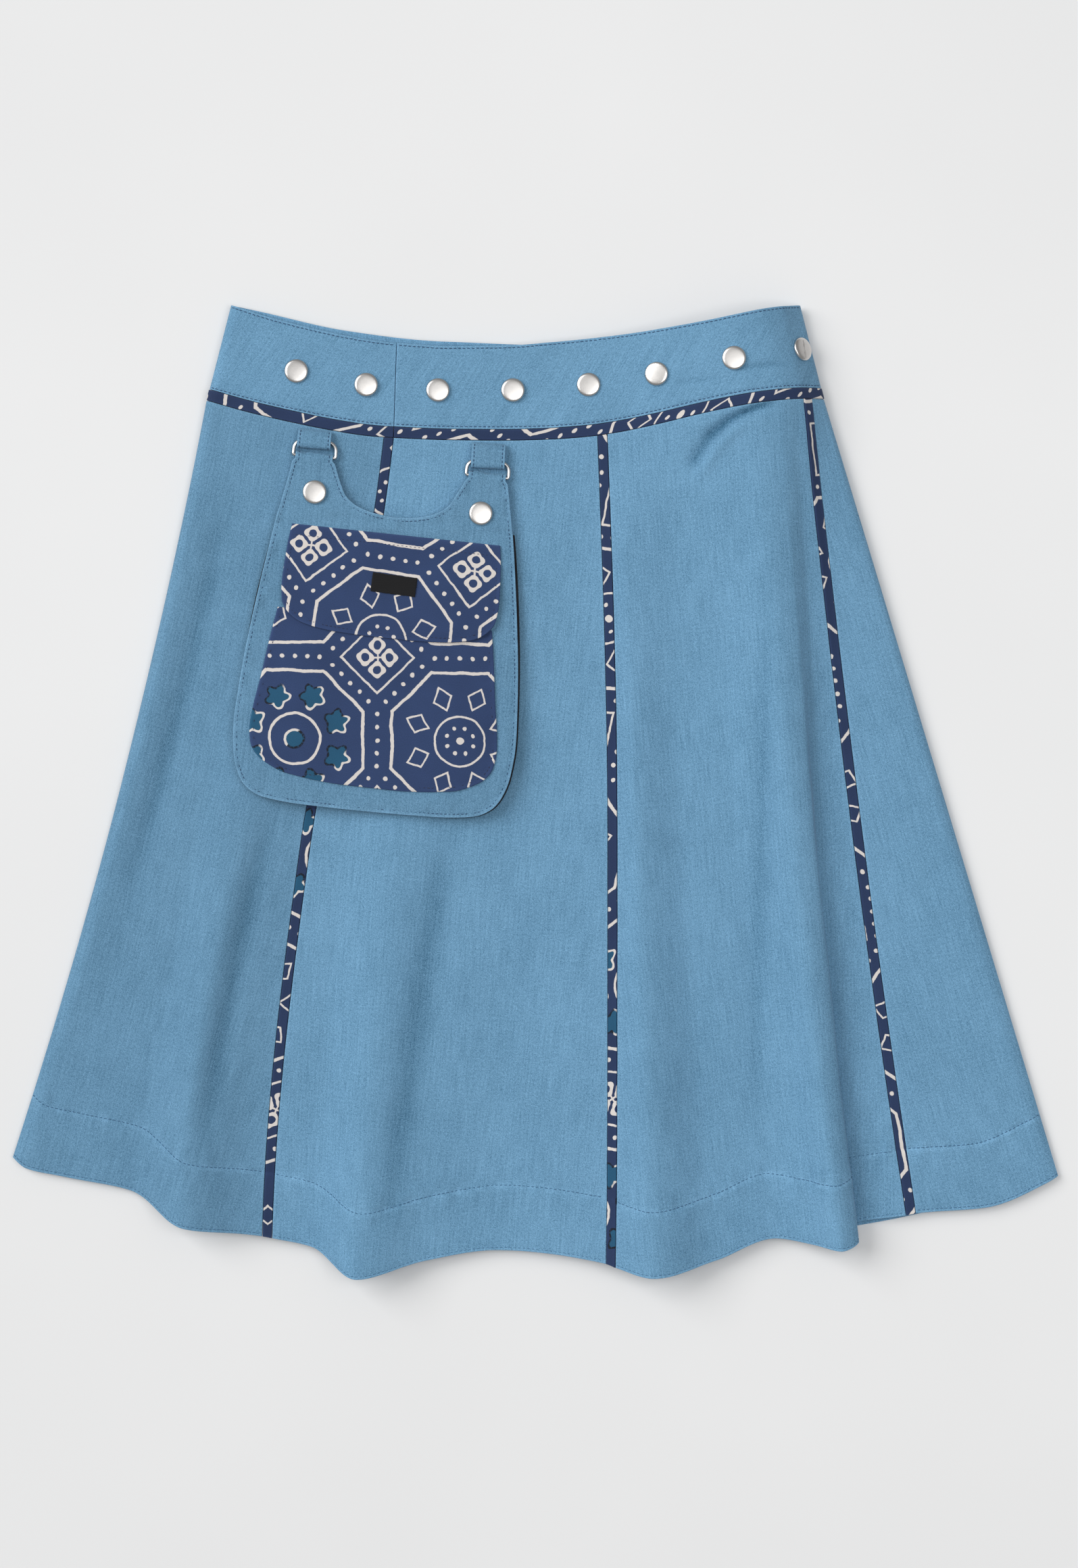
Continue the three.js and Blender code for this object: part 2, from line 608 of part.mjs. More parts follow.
// A ring of round wire: a straight bar at y 0 and an arch over it
const RING = { half: 13.3, leg: 3, arch: 10.5 };
function ring() {
  const sides = 8;
  const path = [];
  const arcSteps = 12;
  const squarer = (v) => Math.sign(v) * Math.abs(v) ** 0.75;
  for (let i = 0; i <= arcSteps; i++) {
    const a = (Math.PI * i) / arcSteps;
    const up = (RING.arch - RING.leg) * squarer(Math.sin(a));
    path.push([RING.half * squarer(Math.cos(a)), RING.leg + up]);
  }
  path.push([-RING.half, 1.2], [-RING.half + 1.2, 0], [RING.half - 1.2, 0], [RING.half, 1.2]);
  const n = path.length;
  const position = [];
  const index = [];
  for (let j = 0; j < n; j++) {
    const before = new THREE.Vector2(...path[(j + n - 1) % n]);
    const after = new THREE.Vector2(...path[(j + 1) % n]);
    const run = after.sub(before).normalize();
    for (let k = 0; k < sides; k++) {
      const a = (2 * Math.PI * k) / sides;
      const out = WIRE * Math.cos(a);
      position.push(path[j][0] + run.y * out, path[j][1] - run.x * out, WIRE * Math.sin(a));
      const [here, next] = [j * sides + k, j * sides + ((k + 1) % sides)];
      const [ahead, aheadNext] = [((j + 1) % n) * sides + k, ((j + 1) % n) * sides + ((k + 1) % sides)];
      index.push(here, ahead, aheadNext, here, aheadNext, next);
    }
  }
  const geometry = new THREE.BufferGeometry();
  geometry.setAttribute("position", new THREE.Float32BufferAttribute(position, 3));
  return geometry.setIndex(index);
}

add(pouch, "pouch_backing", backing(), LINING);
add(pouch, "pouch_face", pouchFace(), DENIM);
add(pouch, "pouch_pocket", shell(POCKET_SHELL), PRINT);
add(pouch, "pouch_flap", shell(FLAP_SHELL), PRINT);
add(pouch, "pouch_label", labelOn(FLAP_SHELL), LINING);

[-1, 1].forEach((side) => {
  const name = side < 0 ? "left" : "right";
  const wire = add(pouch, `ring_${name}`, ring(), STEEL);
  wire.position.set(side * STRAP_X, -side * RING_SKEW, WIRE_HEIGHT);
});
for (const { side, x, down } of STRAP_STUDS) {
  const stud = add(pouch, `pouch_stud_${side}`, studCap(), STEEL);
  stud.position.set(x, -down, ON_FACE);
}

// Two loops of denim under the waistband, which hold the pouch's rings
const LOOP_WIDTH = 21;
const LOOP_START = 2.2; // a loop starts this far below the trim
const LOOPS = rows("side x length spin", [
  ["left", -138.4, 11.8, -5],
  ["right", -29.8, 15.9, -3],
]);
function loop(length) {
  const layer = 0.8;
  const room = 4.7; // height of the upper layer's underside
  const shape = new THREE.Shape();
  shape.moveTo(0, LIE_GAP);
  shape.lineTo(0, LIE_GAP + 2 * layer);
  shape.lineTo(-4, room + layer - 0.3);
  shape.lineTo(3 - length, room + layer);
  const middle = (LIE_GAP + room + layer) / 2;
  const radius = middle - LIE_GAP;
  shape.absellipse(3 - length, middle, 3, radius, Math.PI / 2, (3 * Math.PI) / 2, false, 0);
  const hole = new THREE.Path();
  hole.moveTo(-2.5, LIE_GAP + layer + 0.2);
  hole.lineTo(3 - length, LIE_GAP + layer);
  hole.absellipse(3 - length, middle, 3 - layer, radius - layer, (3 * Math.PI) / 2, Math.PI / 2, true, 0);
  hole.lineTo(-4, room - 0.3);
  shape.holes.push(hole);
  return acrossStrap(shape, LOOP_WIDTH);
}
for (const { side, x, length, spin } of LOOPS) {
  const strap = add(skirt, `loop_${side}`, loop(length), DENIM);
  strap.position.set(x, onCurve(WAIST_SEAM, x) - LOOP_START, POUCH.z);
  strap.rotation.z = THREE.MathUtils.degToRad(spin);
}

export default skirt;
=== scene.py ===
# Looks for a knee-length wrap skirt of light blue denim, fastened and lying front up on a flat surface.
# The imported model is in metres. Sizes here are millimetres, and the tables repeat the part's own.
import math

import bpy
import numpy as np
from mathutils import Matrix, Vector
from mathutils.geometry import delaunay_2d_cdt


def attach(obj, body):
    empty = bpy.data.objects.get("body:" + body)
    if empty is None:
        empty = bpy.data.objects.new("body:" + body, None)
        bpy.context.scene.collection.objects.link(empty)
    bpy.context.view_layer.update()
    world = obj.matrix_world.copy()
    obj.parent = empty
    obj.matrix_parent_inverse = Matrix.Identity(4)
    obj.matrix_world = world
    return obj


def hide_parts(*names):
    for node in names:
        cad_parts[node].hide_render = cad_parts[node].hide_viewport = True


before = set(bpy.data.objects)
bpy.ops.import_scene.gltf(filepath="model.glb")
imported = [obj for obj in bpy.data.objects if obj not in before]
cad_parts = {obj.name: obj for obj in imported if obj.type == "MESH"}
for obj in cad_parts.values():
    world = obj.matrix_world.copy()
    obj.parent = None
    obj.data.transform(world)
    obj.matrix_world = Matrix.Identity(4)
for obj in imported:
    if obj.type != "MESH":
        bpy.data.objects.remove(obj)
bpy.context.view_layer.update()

MM = 0.001

# Camera over the middle of the skirt, looking straight down. Its long side is the picture's height.
CAMERA_AT = (0.0015, 0.0045, 2.2)
LENS = 80.3
SENSOR = 36

# Cloth and seams
CLOTH = 1.2
BAND_CLOTH = 2
SEAM_GAP = 0.3
STRIP_LIFT = 0.4
TRIM_WIDTH = 7
LIE_GAP = 0.4
EDGE_ROUND = 0.5  # radius of a piece's turned edge
HEM_DEPTH = 41  # hem stitching above the hem's edge

# Press studs
STUD_RADIUS = 7.5
STUD_HEIGHT = 2.3
STUD_PITCH = 46
STUD_UP_BAND = 0.525
STUD_X = [-150.4, -106.7, -61.8, -14.8, 32.6, 75, 122.7, 165.6]
STUDS_BEHIND = 4

# Heights of the cloth's outer face behind the skirt
BAND_REST = STUD_HEIGHT + SEAM_GAP
FLAP_WAIST = BAND_REST + BAND_CLOTH + SEAM_GAP
FLAP_HEM = CLOTH + SEAM_GAP

# A rail is a line on the cloth from waist to hem: its name, x at the waist seam, half way and at the hem,
# y at the hem, and the outer face's height at the waist seam, half way and at the hem. Where a seam swings,
# the last number is its x an eighth of the way down.
RAILS = [
    ("inner_end", 90, 118, 146, -278, FLAP_WAIST, FLAP_HEM, FLAP_HEM),
    ("inner_flat", 48, 58, 70, -284.5, FLAP_WAIST, FLAP_HEM, FLAP_HEM),
    ("over_edge", 5, -2, -9, -286.5, FLAP_WAIST, FLAP_HEM, FLAP_HEM),
    ("off_edge", -8, -15, -22, -286.5, BAND_REST, 0, 0),
    ("seam_1_start", -56, -42, -28, -286.2, BAND_REST, 0, 0),
    ("seam_1_end", -62, -48, -34, -286, BAND_REST, 0, 0),
    ("back_left", -125, -136, -147, -274, BAND_REST, 0, 0),
    ("seam_2_start", -187, -223, -259, -250, BAND_REST, 0, 0),
    ("seam_2_end", -193, -229, -265, -248.5, BAND_REST, 0, 0),
    ("left_under", -203, -253, -321, -233.5, BAND_REST, 0, 0),
    ("left_fold", -207, -260, -329, -230, 6.3, 4, 3.5),
    ("left_over", -201, -254, -321, -236.5, 10, 9, 6.5),
    ("left_crease", -183, -236, -298, -241.8, 10, 6.8, 6),
    ("trough_1", -150, -212, -255, -250.6, 10, 7.5, 5.5),
    ("crest_1", -123, -190, -220, -272.6, 10, 13, 24),
    ("after_1", -104, -154, -182, -277.6, 9.8, 9, 11, -113),
    ("seam_3_start", -95.6, -147.2, -171.7, -279, 9.6, 8.8, 10, -104.2),
    ("seam_3_end", -89.6, -141.2, -165.7, -280.2, 9.6, 8.8, 9.6, -98.2),
    ("trough_2", -75, -126, -141, -285.6, 9.5, 9.4, 8.5, -84.5),
    ("crest_2", -58, -90, -112, -304, 9.5, 14.4, 26),
    ("after_2", -20, -45, -70, -294, 9.8, 10, 12),
    ("trough_3", 8, -8, -25, -287.8, 10.5, 8.8, 8),
    ("seam_4_start", 38.2, 44.6, 43.4, -295.4, 12.4, 11.8, 16.5),
    ("seam_4_end", 44.2, 50.4, 49.2, -297.4, 13, 12.8, 18.5),
    ("crest_3", 54, 64, 73, -303.2, 14, 18, 27),
    ("after_3", 75, 94, 112, -293.8, 18, 10.8, 13),
    ("trough_4", 100, 122, 150, -280.4, 23.6, 11.5, 9),
    ("rise_4", 120, 140, 172, -283.5, 27.2, 17, 14),
    ("crest_4", 137, 160, 190, -286.6, 28.4, 25.5, 25),
    ("fold_4_edge", 150, 173, 201.5, -281.4, 27.2, 20, 16),
    ("fold_4_under", 156, 174, 188, -276, 25.6, 14, 8.5),
    ("trough_5", 161, 179, 197, -271.5, 23.4, 9.6, 5.8),
    ("seam_5_start", 166.5, 196, 231.8, -266.2, 20.3, 8, 6.6),
    ("seam_5_end", 172, 202, 237.8, -265, 15.2, 8, 6.6),
    ("right_flat", 176.5, 228, 282, -261.4, 10.8, 8.5, 6.2),
    ("right_over", 179.3, 248.3, 320.5, -246, 7.8, 7.4, 5.5),
    ("right_fold", 180.2, 254, 327.7, -242, 5.6, 4, 3),
    ("right_under", 177, 247, 320, -244, BAND_REST, 0, 0),
    ("back_right", 120, 186, 232, -267.5, BAND_REST, 0, 0),
    ("seam_6_start", 87, 141, 197, -274, BAND_REST, 0, 0),
    ("seam_6_end", 81, 135, 191, -275, BAND_REST, 0, 0),
    ("back_middle", 45, 65, 90, -284, BAND_REST, 0, 0),
    ("outer_end", 8, 1, -6, -286.5, BAND_REST, 0, 0),
]
RAIL = {row[0]: i for i, row in enumerate(RAILS)}
FIRST_FRONT = RAIL["left_fold"]
LAST_FRONT = RAIL["right_fold"]

# Edges of the waistband, as points (x, y), and its lean: x at the waist seam against x at its upper edge
WAIST_SEAM = [
    (-207, 245), (-151, 230.6), (-96, 221.8), (-30, 219.7), (20, 220.8), (57, 225.5), (97, 234),
    (138, 241.6), (180.2, 245.9),
]
FRONT_TOP = [
    (-191.7, 305), (-147, 291.6), (-90, 281.2), (-40, 278.6), (2, 280.8), (53, 285.6), (104, 292.8),
    (146, 301.4), (165.3, 305),
]
BACK_TOP = [
    (-191.7, 305), (-147, 295.6), (-90, 284), (-40, 281.7), (20, 279.6), (104, 291.4), (165.3, 304.6),
]
BAND_LEAN = [(-207, -191.7), (-91.8, -89.7), (0, -1), (100, 92), (180.2, 165.3)]
BAND_FLATTER = 0.96


# Slopes of a smooth curve through points, along the last axis, which never swings past a point's value
def curve_slopes(t, y):
    step = np.maximum(np.diff(t), 1e-9)
    rise = np.diff(y) / step
    slope = np.zeros(np.broadcast(t, y).shape)
    if y.shape[-1] == 2:
        slope[...] = rise
        return slope
    before = 2 * step[..., 1:] + step[..., :-1]
    after = step[..., 1:] + 2 * step[..., :-1]
    same = rise[..., :-1] * rise[..., 1:] > 0
    safe = np.where(rise == 0, 1, rise)
    total = before / safe[..., :-1] + after / safe[..., 1:]
    slope[..., 1:-1] = np.where(same, (before + after) / np.where(same, total, 1), 0)
    slope[..., 0] = end_slope(step[..., 0], step[..., 1], rise[..., 0], rise[..., 1])
    slope[..., -1] = end_slope(step[..., -1], step[..., -2], rise[..., -1], rise[..., -2])
    return slope


def end_slope(near_step, far_step, near_rise, far_rise):
    s = ((2 * near_step + far_step) * near_rise - near_step * far_rise) / (near_step + far_step)
    steep = (near_rise * far_rise <= 0) & (np.abs(s) > 3 * np.abs(near_rise))
    return np.where(s * near_rise <= 0, 0, np.where(steep, 3 * near_rise, s))


def hermite(low, high, low_slope, high_slope, h, s):
    a = (1 + 2 * s) * (1 - s) ** 2
    b = s * (1 - s) ** 2
    c = s * s * (3 - 2 * s)
    d = s * s * (s - 1)
    return a * low + b * h * low_slope + c * high + d * h * high_slope


# The curve through the points t, y at places, held at its ends
def curve_at(t, y, places):
    t, y = np.asarray(t, float), np.asarray(y, float)
    slope = curve_slopes(t, y)
    places = np.clip(places, t[0], t[-1])
    i = np.clip(np.searchsorted(t, places, "right") - 1, 0, len(t) - 2)
    h = t[i + 1] - t[i]
    return hermite(y[i], y[i + 1], slope[i], slope[i + 1], h, (places - t[i]) / h)


def on_curve(table, places):
    return curve_at([r[0] for r in table], [r[1] for r in table], places)


# Distance along a path at each of its points
def lengths_along(path):
    hops = np.linalg.norm(np.diff(path, axis=0), axis=1)
    return np.concatenate([[0], np.cumsum(hops)])


# A table's columns at places, with straight lines between its rows
def columns_at(places, t, table):
    return np.stack([np.interp(places, t, column) for column in np.transpose(table)], -1)


def unit(v):
    return v / np.maximum(np.linalg.norm(v, axis=-1, keepdims=True), 1e-9)


# x and y turned by an angle in degrees
def spun(x, y, degrees):
    c, s = math.cos(math.radians(degrees)), math.sin(math.radians(degrees))
    return x * c - y * s, x * s + y * c


# Every rail's point at the heights v: 0 at the waist seam, 1 at the hem, -1 at the band's upper edge
def rail_points(v):
    points = np.empty((len(v), len(RAILS), 3))
    down = np.clip(v, 0, 1)
    up = np.clip(-v, 0, 1)[:, None]
    for i, (_, waist_x, middle_x, hem_x, hem_y, waist_z, middle_z, hem_z, *upper_x) in enumerate(RAILS):
        waist_y = on_curve(WAIST_SEAM, waist_x)
        x_at = [0, 0.125, 0.5, 1] if upper_x else [0, 0.5, 1]
        x = curve_at(x_at, [waist_x, *upper_x, middle_x, hem_x], down)
        z = curve_at([0, 0.5, 1], [waist_z, middle_z, hem_z], down)
        front = FIRST_FRONT <= i <= LAST_FRONT
        top_x = on_curve(BAND_LEAN, waist_x)
        top_y = on_curve(FRONT_TOP if front else BACK_TOP, top_x)
        top = np.array([top_x, top_y, waist_z * (BAND_FLATTER if front else 1)])
        low = np.stack([x, waist_y + (hem_y - waist_y) * down, z], 1)
        points[:, i] = low + (top - low) * up
    return points


# The cloth's lines across all rails at the heights v
class Lines:
    def __init__(self, v):
        self.v = np.asarray(v, float)
        points = rail_points(self.v)
        hops = np.maximum(np.linalg.norm(np.diff(points, axis=1), axis=2), 1e-6)
        self.t = np.concatenate([np.zeros((len(points), 1)), np.cumsum(hops, 1)], 1)
        self.y = points.transpose(0, 2, 1)
        self.slope = curve_slopes(self.t[:, None, :], self.y)

    # The rails before u, counted in rails, and the share of the way to the next one
    def split(self, u):
        u = np.broadcast_to(u, (len(self.v), np.shape(u)[-1]))
        i = np.clip(u.astype(int), 0, len(RAILS) - 2)
        return i, u - i, [np.take_along_axis(self.t, i + k, 1) for k in (0, 1)]

    # Points of the outer face at u: a row of values for each line
    def at(self, u):
        i, share, (low, high) = self.split(u)
        ends = [[np.take_along_axis(a, (i + k)[:, None, :].repeat(3, 1), 2) for k in (0, 1)]
                for a in (self.y, self.slope)]
        p = hermite(*ends[0], *ends[1], (high - low)[:, None, :], share[:, None, :]).transpose(0, 2, 1)
        p[..., 2] = np.maximum(p[..., 2], 0)
        return p

    # Length along each line, in millimetres, at u
    def along(self, u):
        _, share, (low, high) = self.split(u)
        return low + (high - low) * share


NUDGE = 0.02


# Points and outward directions of the cloth's outer face at the heights v and, for each, the places u
def surface(v, u):
    v = np.asarray(v, float)
    here = Lines(v)
    up = Lines(np.maximum(v - NUDGE, np.where(v >= 0, 0, -1)))
    down = Lines(np.minimum(v + NUDGE, np.where(v >= 0, 1, 0)))
    last = len(RAILS) - 1
    u = np.broadcast_to(u, (len(v), np.shape(u)[-1]))
    across = here.at(np.minimum(u + NUDGE, last)) - here.at(np.maximum(u - NUDGE, 0))
    return here, here.at(u), unit(np.cross(down.at(u) - up.at(u), across))


DOWN_STEPS = np.linspace(0, 1, 41)
RAIL_LENGTH = np.linalg.norm(np.diff(rail_points(DOWN_STEPS), axis=0), axis=2).sum(0)
BAND_LENGTH = np.linalg.norm(np.diff(rail_points(np.array([0.0, -1.0])), axis=0), axis=2)[0]
TRIM_TOP = -TRIM_WIDTH / BAND_LENGTH[RAIL["trough_3"]]


def by_rail(values, u):
    return np.interp(u, np.arange(len(RAILS)), values)


# Smooth noise from -1 to 1 in cells one unit wide
def noise(x, y, seed):
    table = np.random.default_rng(seed).uniform(-1, 1, (256, 256))
    i, j = np.floor(x).astype(int), np.floor(y).astype(int)
    s, t = x - i, y - j
    s, t = s * s * (3 - 2 * s), t * t * (3 - 2 * t)
    corner = [[table[(i + a) % 256, (j + b) % 256] for b in (0, 1)] for a in (0, 1)]
    low = corner[0][0] * (1 - s) + corner[1][0] * s
    high = corner[0][1] * (1 - s) + corner[1][1] * s
    return low * (1 - t) + high * t


def near(distance, width):
    return np.exp(-((distance / width) ** 2))


def smooth(value, low, high):
    s = np.clip((value - low) / (high - low), 0, 1)
    return s * s * (3 - 2 * s)


# Sum of layers of noise: each one's height, the size of its cells across and along, and its seed
def waves(x, y, layers):
    return sum(height * noise(x / across, y / along, seed) for height, across, along, seed in layers)


# Distance from points to a path of straight lines, and how far along it the nearest place is
def nearest_on(x, y, path):
    starts = lengths_along(path)
    best = np.full(np.shape(x), 1e9)
    place = np.zeros(np.shape(x))
    for (ax, ay), (bx, by), start, end in zip(path, path[1:], starts, starts[1:]):
        hop = max(end - start, 1e-9)
        dx, dy = (bx - ax) / hop, (by - ay) / hop
        along = np.clip((x - ax) * dx + (y - ay) * dy, 0, hop)
        distance = np.hypot(x - ax - along * dx, y - ay - along * dy)
        place = np.where(distance < best, start + along, place)
        best = np.minimum(best, distance)
    return best, place


def outline_distance(x, y, outline):
    return nearest_on(x, y, np.concatenate([outline, outline[:1]]))[0]


# Soft creases pressed into the front, or raised from it: depth, width and the points each runs through
CREASES = [
    (1.4, 8, [(-188, 200), (-198.9, 161.7), (-220.6, 66.1), (-245.2, -26.1), (-262, -90)]),
    (-1.3, 7, [(-172, 10), (-189, -50), (-207, -140), (-224, -240)]),
    (1.7, 8, [(-160, 5), (-176, -55), (-194, -140), (-211, -235)]),
    (1.6, 12, [(-50, 0), (-58, -40), (-71, -120), (-86, -224), (-94, -290)]),
    (3.8, 3.2, [(152, 243), (138, 239.5), (129, 236), (120, 231), (110, 223), (104, 217)]),
    (2.6, 4.5, [(114, 228), (106, 219), (99, 208), (94.5, 199)]),
    (-1.8, 3.6, [(134, 231), (122, 224), (112, 213), (104, 200), (100, 190)]),
    (1.1, 7, [(144, 150), (140.3, 66.1), (139, -80), (136.9, -229.7)]),
    (1.3, 2.2, [(119.9, 262), (140, 264.6), (159.8, 266.7)]),
    (0.9, 2.2, [(82.7, 254.8), (114.2, 256.6)]),
]
FADE = 0.3  # share of a crease's length over which each end fades
HEM_STEP = 0.35  # the turned hem stands this much prouder
STITCH_DIP = 0.55
BAND_STITCH = 1.6  # from the band's edges
TRIM_STITCH = 1.5

# Layers of noise in the cloth, and of puckers along the band's stitches, the hem's and its edge
CLOTH_WAVES = [(0.5, 34, 60, 3), (0.2, 13, 21, 4), (0.06, 5, 7, 5)]
BAND_PUCKERS = [(0.36, 4.5, 9, 6)]
HEM_PUCKERS = [(0.6, 5.5, 15, 7), (0.3, 3, 8, 8)]
EDGE_PUCKERS = [(0.15, 5, 9, 9)]


# Nearness to a crease's path, from 0 to 1, fading towards both its ends
def crease_at(x, y, path, width):
    distance, place = nearest_on(x, y, path)
    share = place / lengths_along(path)[-1]
    return near(distance, width) * smooth(share, -0.02, FADE) * smooth(1 - share, -0.02, FADE)


# How far a point lies in a crease, from 0 to 1, which sets the painted shade at its bottom
def creased(x, y):
    depth = sum(amount * crease_at(x, y, path, width * 0.7) for amount, width, path in CREASES)
    return np.clip(depth / 3, 0, 1)


# Low relief of the cloth, as a height over its plain surface
def relief(x, y, u, v, on_band=False):
    front = smooth(u - FIRST_FRONT, 0.2, 1.2) * smooth(LAST_FRONT - u, 0.2, 1.2)
    height = waves(x, y, CLOTH_WAVES)
    for depth, width, path in CREASES:
        height = height - depth * crease_at(x, y, path, width)
    if on_band:
        length = by_rail(BAND_LENGTH, u)
        for place in ((1 + v) * length - BAND_STITCH, -v * length - TRIM_WIDTH - TRIM_STITCH):
            height = height - STITCH_DIP * near(place, 0.8) + near(place, 5) * waves(x, y, BAND_PUCKERS)
        return front * height * 0.8
    from_hem = (1 - v) * by_rail(RAIL_LENGTH, u)
    place = from_hem - HEM_DEPTH
    height = height + HEM_STEP * smooth(-place, -0.8, 0.8) - STITCH_DIP * near(place, 1)
    height = height + near(place, 9) * waves(x, y, HEM_PUCKERS)
    height = height - 0.3 * near(from_hem - 2, 0.8) + near(from_hem, 6) * waves(x, y, EDGE_PUCKERS)
    return front * height * smooth(v, 0, 0.012)


# Height lost at a turned edge, by distance from it
def edge_drop(distance):
    d = np.clip(distance, 0, EDGE_ROUND)
    return EDGE_ROUND - np.sqrt(np.maximum(EDGE_ROUND**2 - (EDGE_ROUND - d) ** 2, 0))


# A closed wall between two grids of points, the first one facing out
def wall(outer, inner):
    lines, count = outer.shape[:2]
    ids = np.arange(2 * lines * count).reshape(2, lines, count)
    o, i = ids
    faces = [
        np.stack([o[:-1, :-1], o[1:, :-1], o[1:, 1:], o[:-1, 1:]], -1).reshape(-1, 4),
        np.stack([i[:-1, :-1], i[:-1, 1:], i[1:, 1:], i[1:, :-1]], -1).reshape(-1, 4),
        np.stack([o[0, :-1], o[0, 1:], i[0, 1:], i[0, :-1]], -1),
        np.stack([o[-1, 1:], o[-1, :-1], i[-1, :-1], i[-1, 1:]], -1),
        np.stack([o[1:, 0], o[:-1, 0], i[:-1, 0], i[1:, 0]], -1),
        np.stack([o[:-1, -1], o[1:, -1], i[1:, -1], i[:-1, -1]], -1),
    ]
    return np.concatenate([outer.reshape(-1, 3), inner.reshape(-1, 3)]), np.concatenate(faces)


SHARP = math.radians(48)


def link(thing):
    bpy.context.scene.collection.objects.link(thing)
    return thing


# A piece from points and faces in millimetres. flat and wear are those of a wall's outer face: each point's
# place on the cloth, also in millimetres, and how worn it is, lowered where shade is painted into a crease.
# The inner face repeats them.
def piece(name, points, faces, material, node=None, flat=None, wear_and_crease_shade=None, sharp=True):
    mesh = bpy.data.meshes.new(name)
    mesh.from_pydata((np.asarray(points) * MM).tolist(), [], faces)
    if flat is not None:
        corner = np.empty(len(mesh.loops), int)
        mesh.loops.foreach_get("vertex_index", corner)
        both = np.tile(np.reshape(flat, (-1, 2)), (2, 1))
        mesh.uv_layers.new(name="Cloth").uv.foreach_set("vector", (both[corner] * MM).ravel())
        worn = np.tile(np.ravel(wear_and_crease_shade), 2).astype(np.float32)
        mesh.attributes.new("wear_and_crease_shade", "FLOAT", "POINT").data.foreach_set("value", worn)
    mesh.shade_smooth()
    if sharp:
        mesh.set_sharp_from_angle(angle=SHARP)
    mesh.materials.append(material)
    made = link(bpy.data.objects.new(name, mesh))
    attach(made, "root")
    if node:
        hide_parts(node)
    return made


# Feeds a shader's socket with a value, another socket or a constant
def feed(tree, socket, value):
    if isinstance(value, Value):
        value = value.socket
    if isinstance(value, bpy.types.NodeSocket):
        tree.links.new(value, socket)
    else:
        socket.default_value = value


# Sockets of a shader's nodes, worked on with the usual signs
class Value:
    def __init__(self, tree, socket):
        self.tree = tree
        self.socket = socket

    def math(self, operation, *others, clamp=False):
        node = self.tree.nodes.new("ShaderNodeMath")
        node.operation = operation
        node.use_clamp = clamp
        for k, value in enumerate((self, *others)):
            feed(self.tree, node.inputs[k], value)
        return Value(self.tree, node.outputs[0])

    # Kept between 0 and 1
    def held(self):
        return self.math("MAXIMUM", 0.0, clamp=True)

    # 1 less the value
    def rest(self):
        return self * -1 + 1


def worked(operation):
    return lambda self, *others: self.math(operation, *others)


OPERATIONS = {
    "__add__": "ADD", "__sub__": "SUBTRACT", "__mul__": "MULTIPLY", "__truediv__": "DIVIDE",
    "__abs__": "ABSOLUTE", "least": "MINIMUM", "most": "MAXIMUM",
}
for method, operation in OPERATIONS.items():
    setattr(Value, method, worked(operation))


INK_EDGE = 0.3  # how softly printed ink ends


# A material's tree with its cloth coordinates and a principled shader
class Look:
    def __init__(self, name, roughness, **settings):
        self.material = bpy.data.materials.new(name)
        self.material.use_nodes = True
        self.tree = self.material.node_tree
        self.shader = self.tree.nodes["Principled BSDF"]
        self.shader.inputs["Roughness"].default_value = roughness
        for key, value in settings.items():
            self.shader.inputs[key.replace("_", " ")].default_value = value

    def node(self, kind, **settings):
        made = self.tree.nodes.new(kind)
        for key, value in settings.items():
            setattr(made, key, value)
        return made

    def split(self, socket):
        made = self.node("ShaderNodeSeparateXYZ")
        self.tree.links.new(socket, made.inputs[0])
        return [Value(self.tree, output) * 1000 for output in made.outputs]

    # Place on the cloth in millimetres, across and along
    def flat(self):
        return self.split(self.node("ShaderNodeUVMap", uv_map="Cloth").outputs[0])[:2]

    # Place in the model in millimetres
    def place(self):
        return self.split(self.node("ShaderNodeTexCoord").outputs["Object"])

    # Noise round 0, about -0.5 to 0.5, with features of the sizes given
    def noise(self, across, along, size, detail=2.0, offset=0.0):
        spot = self.node("ShaderNodeCombineXYZ")
        for socket, value in zip(spot.inputs, (across / size[0], along / size[1], offset)):
            feed(self.tree, socket, value)
        made = self.node("ShaderNodeTexNoise", noise_dimensions="3D")
        made.inputs["Scale"].default_value = 1
        made.inputs["Detail"].default_value = detail
        self.tree.links.new(spot.outputs[0], made.inputs["Vector"])
        return Value(self.tree, made.outputs[0]) - 0.5

    # How worn the cloth is: paler where higher, and darker where shade is painted into creases
    def wear_and_crease_shade(self):
        return Value(self.tree, self.node("ShaderNodeAttribute", attribute_name="wear_and_crease_shade").outputs["Fac"])

    def mix(self, share, low, high):
        made = self.node("ShaderNodeMix", data_type="RGBA")
        for k, value in ((0, share), (6, low), (7, high)):
            feed(self.tree, made.inputs[k], value)
        return made.outputs[2]

    def set(self, name, value):
        feed(self.tree, self.shader.inputs[name], value)

    # Colour between a low one and a high one, by a value round 0
    def shade(self, value, low, high):
        return self.mix((value + 0.5).held(), low, high)

    # A bump of the given height, in millimetres
    def bump(self, value, height, strength):
        made = self.node("ShaderNodeBump")
        made.inputs["Distance"].default_value = height * MM
        made.inputs["Strength"].default_value = strength
        feed(self.tree, made.inputs["Height"], value)
        self.set("Normal", made.outputs[0])


def srgb(r, g, b):
    return (*((c / 255 / 12.92 if c < 10.3 else ((c / 255 + 0.055) / 1.055) ** 2.4) for c in (r, g, b)), 1)


def scaled(colour, factor):
    return (*(min(c * factor, 1) for c in colour[:3]), 1)


DENIM_DARK = srgb(57, 103, 133)
DENIM_PALE = srgb(142, 193, 230)
THREAD_BLUE = srgb(38, 76, 114)
INDIGO = srgb(48, 66, 104)
CREAM = srgb(226, 219, 213)
TEAL = srgb(36, 84, 114)
CRACKLE = srgb(28, 33, 44)

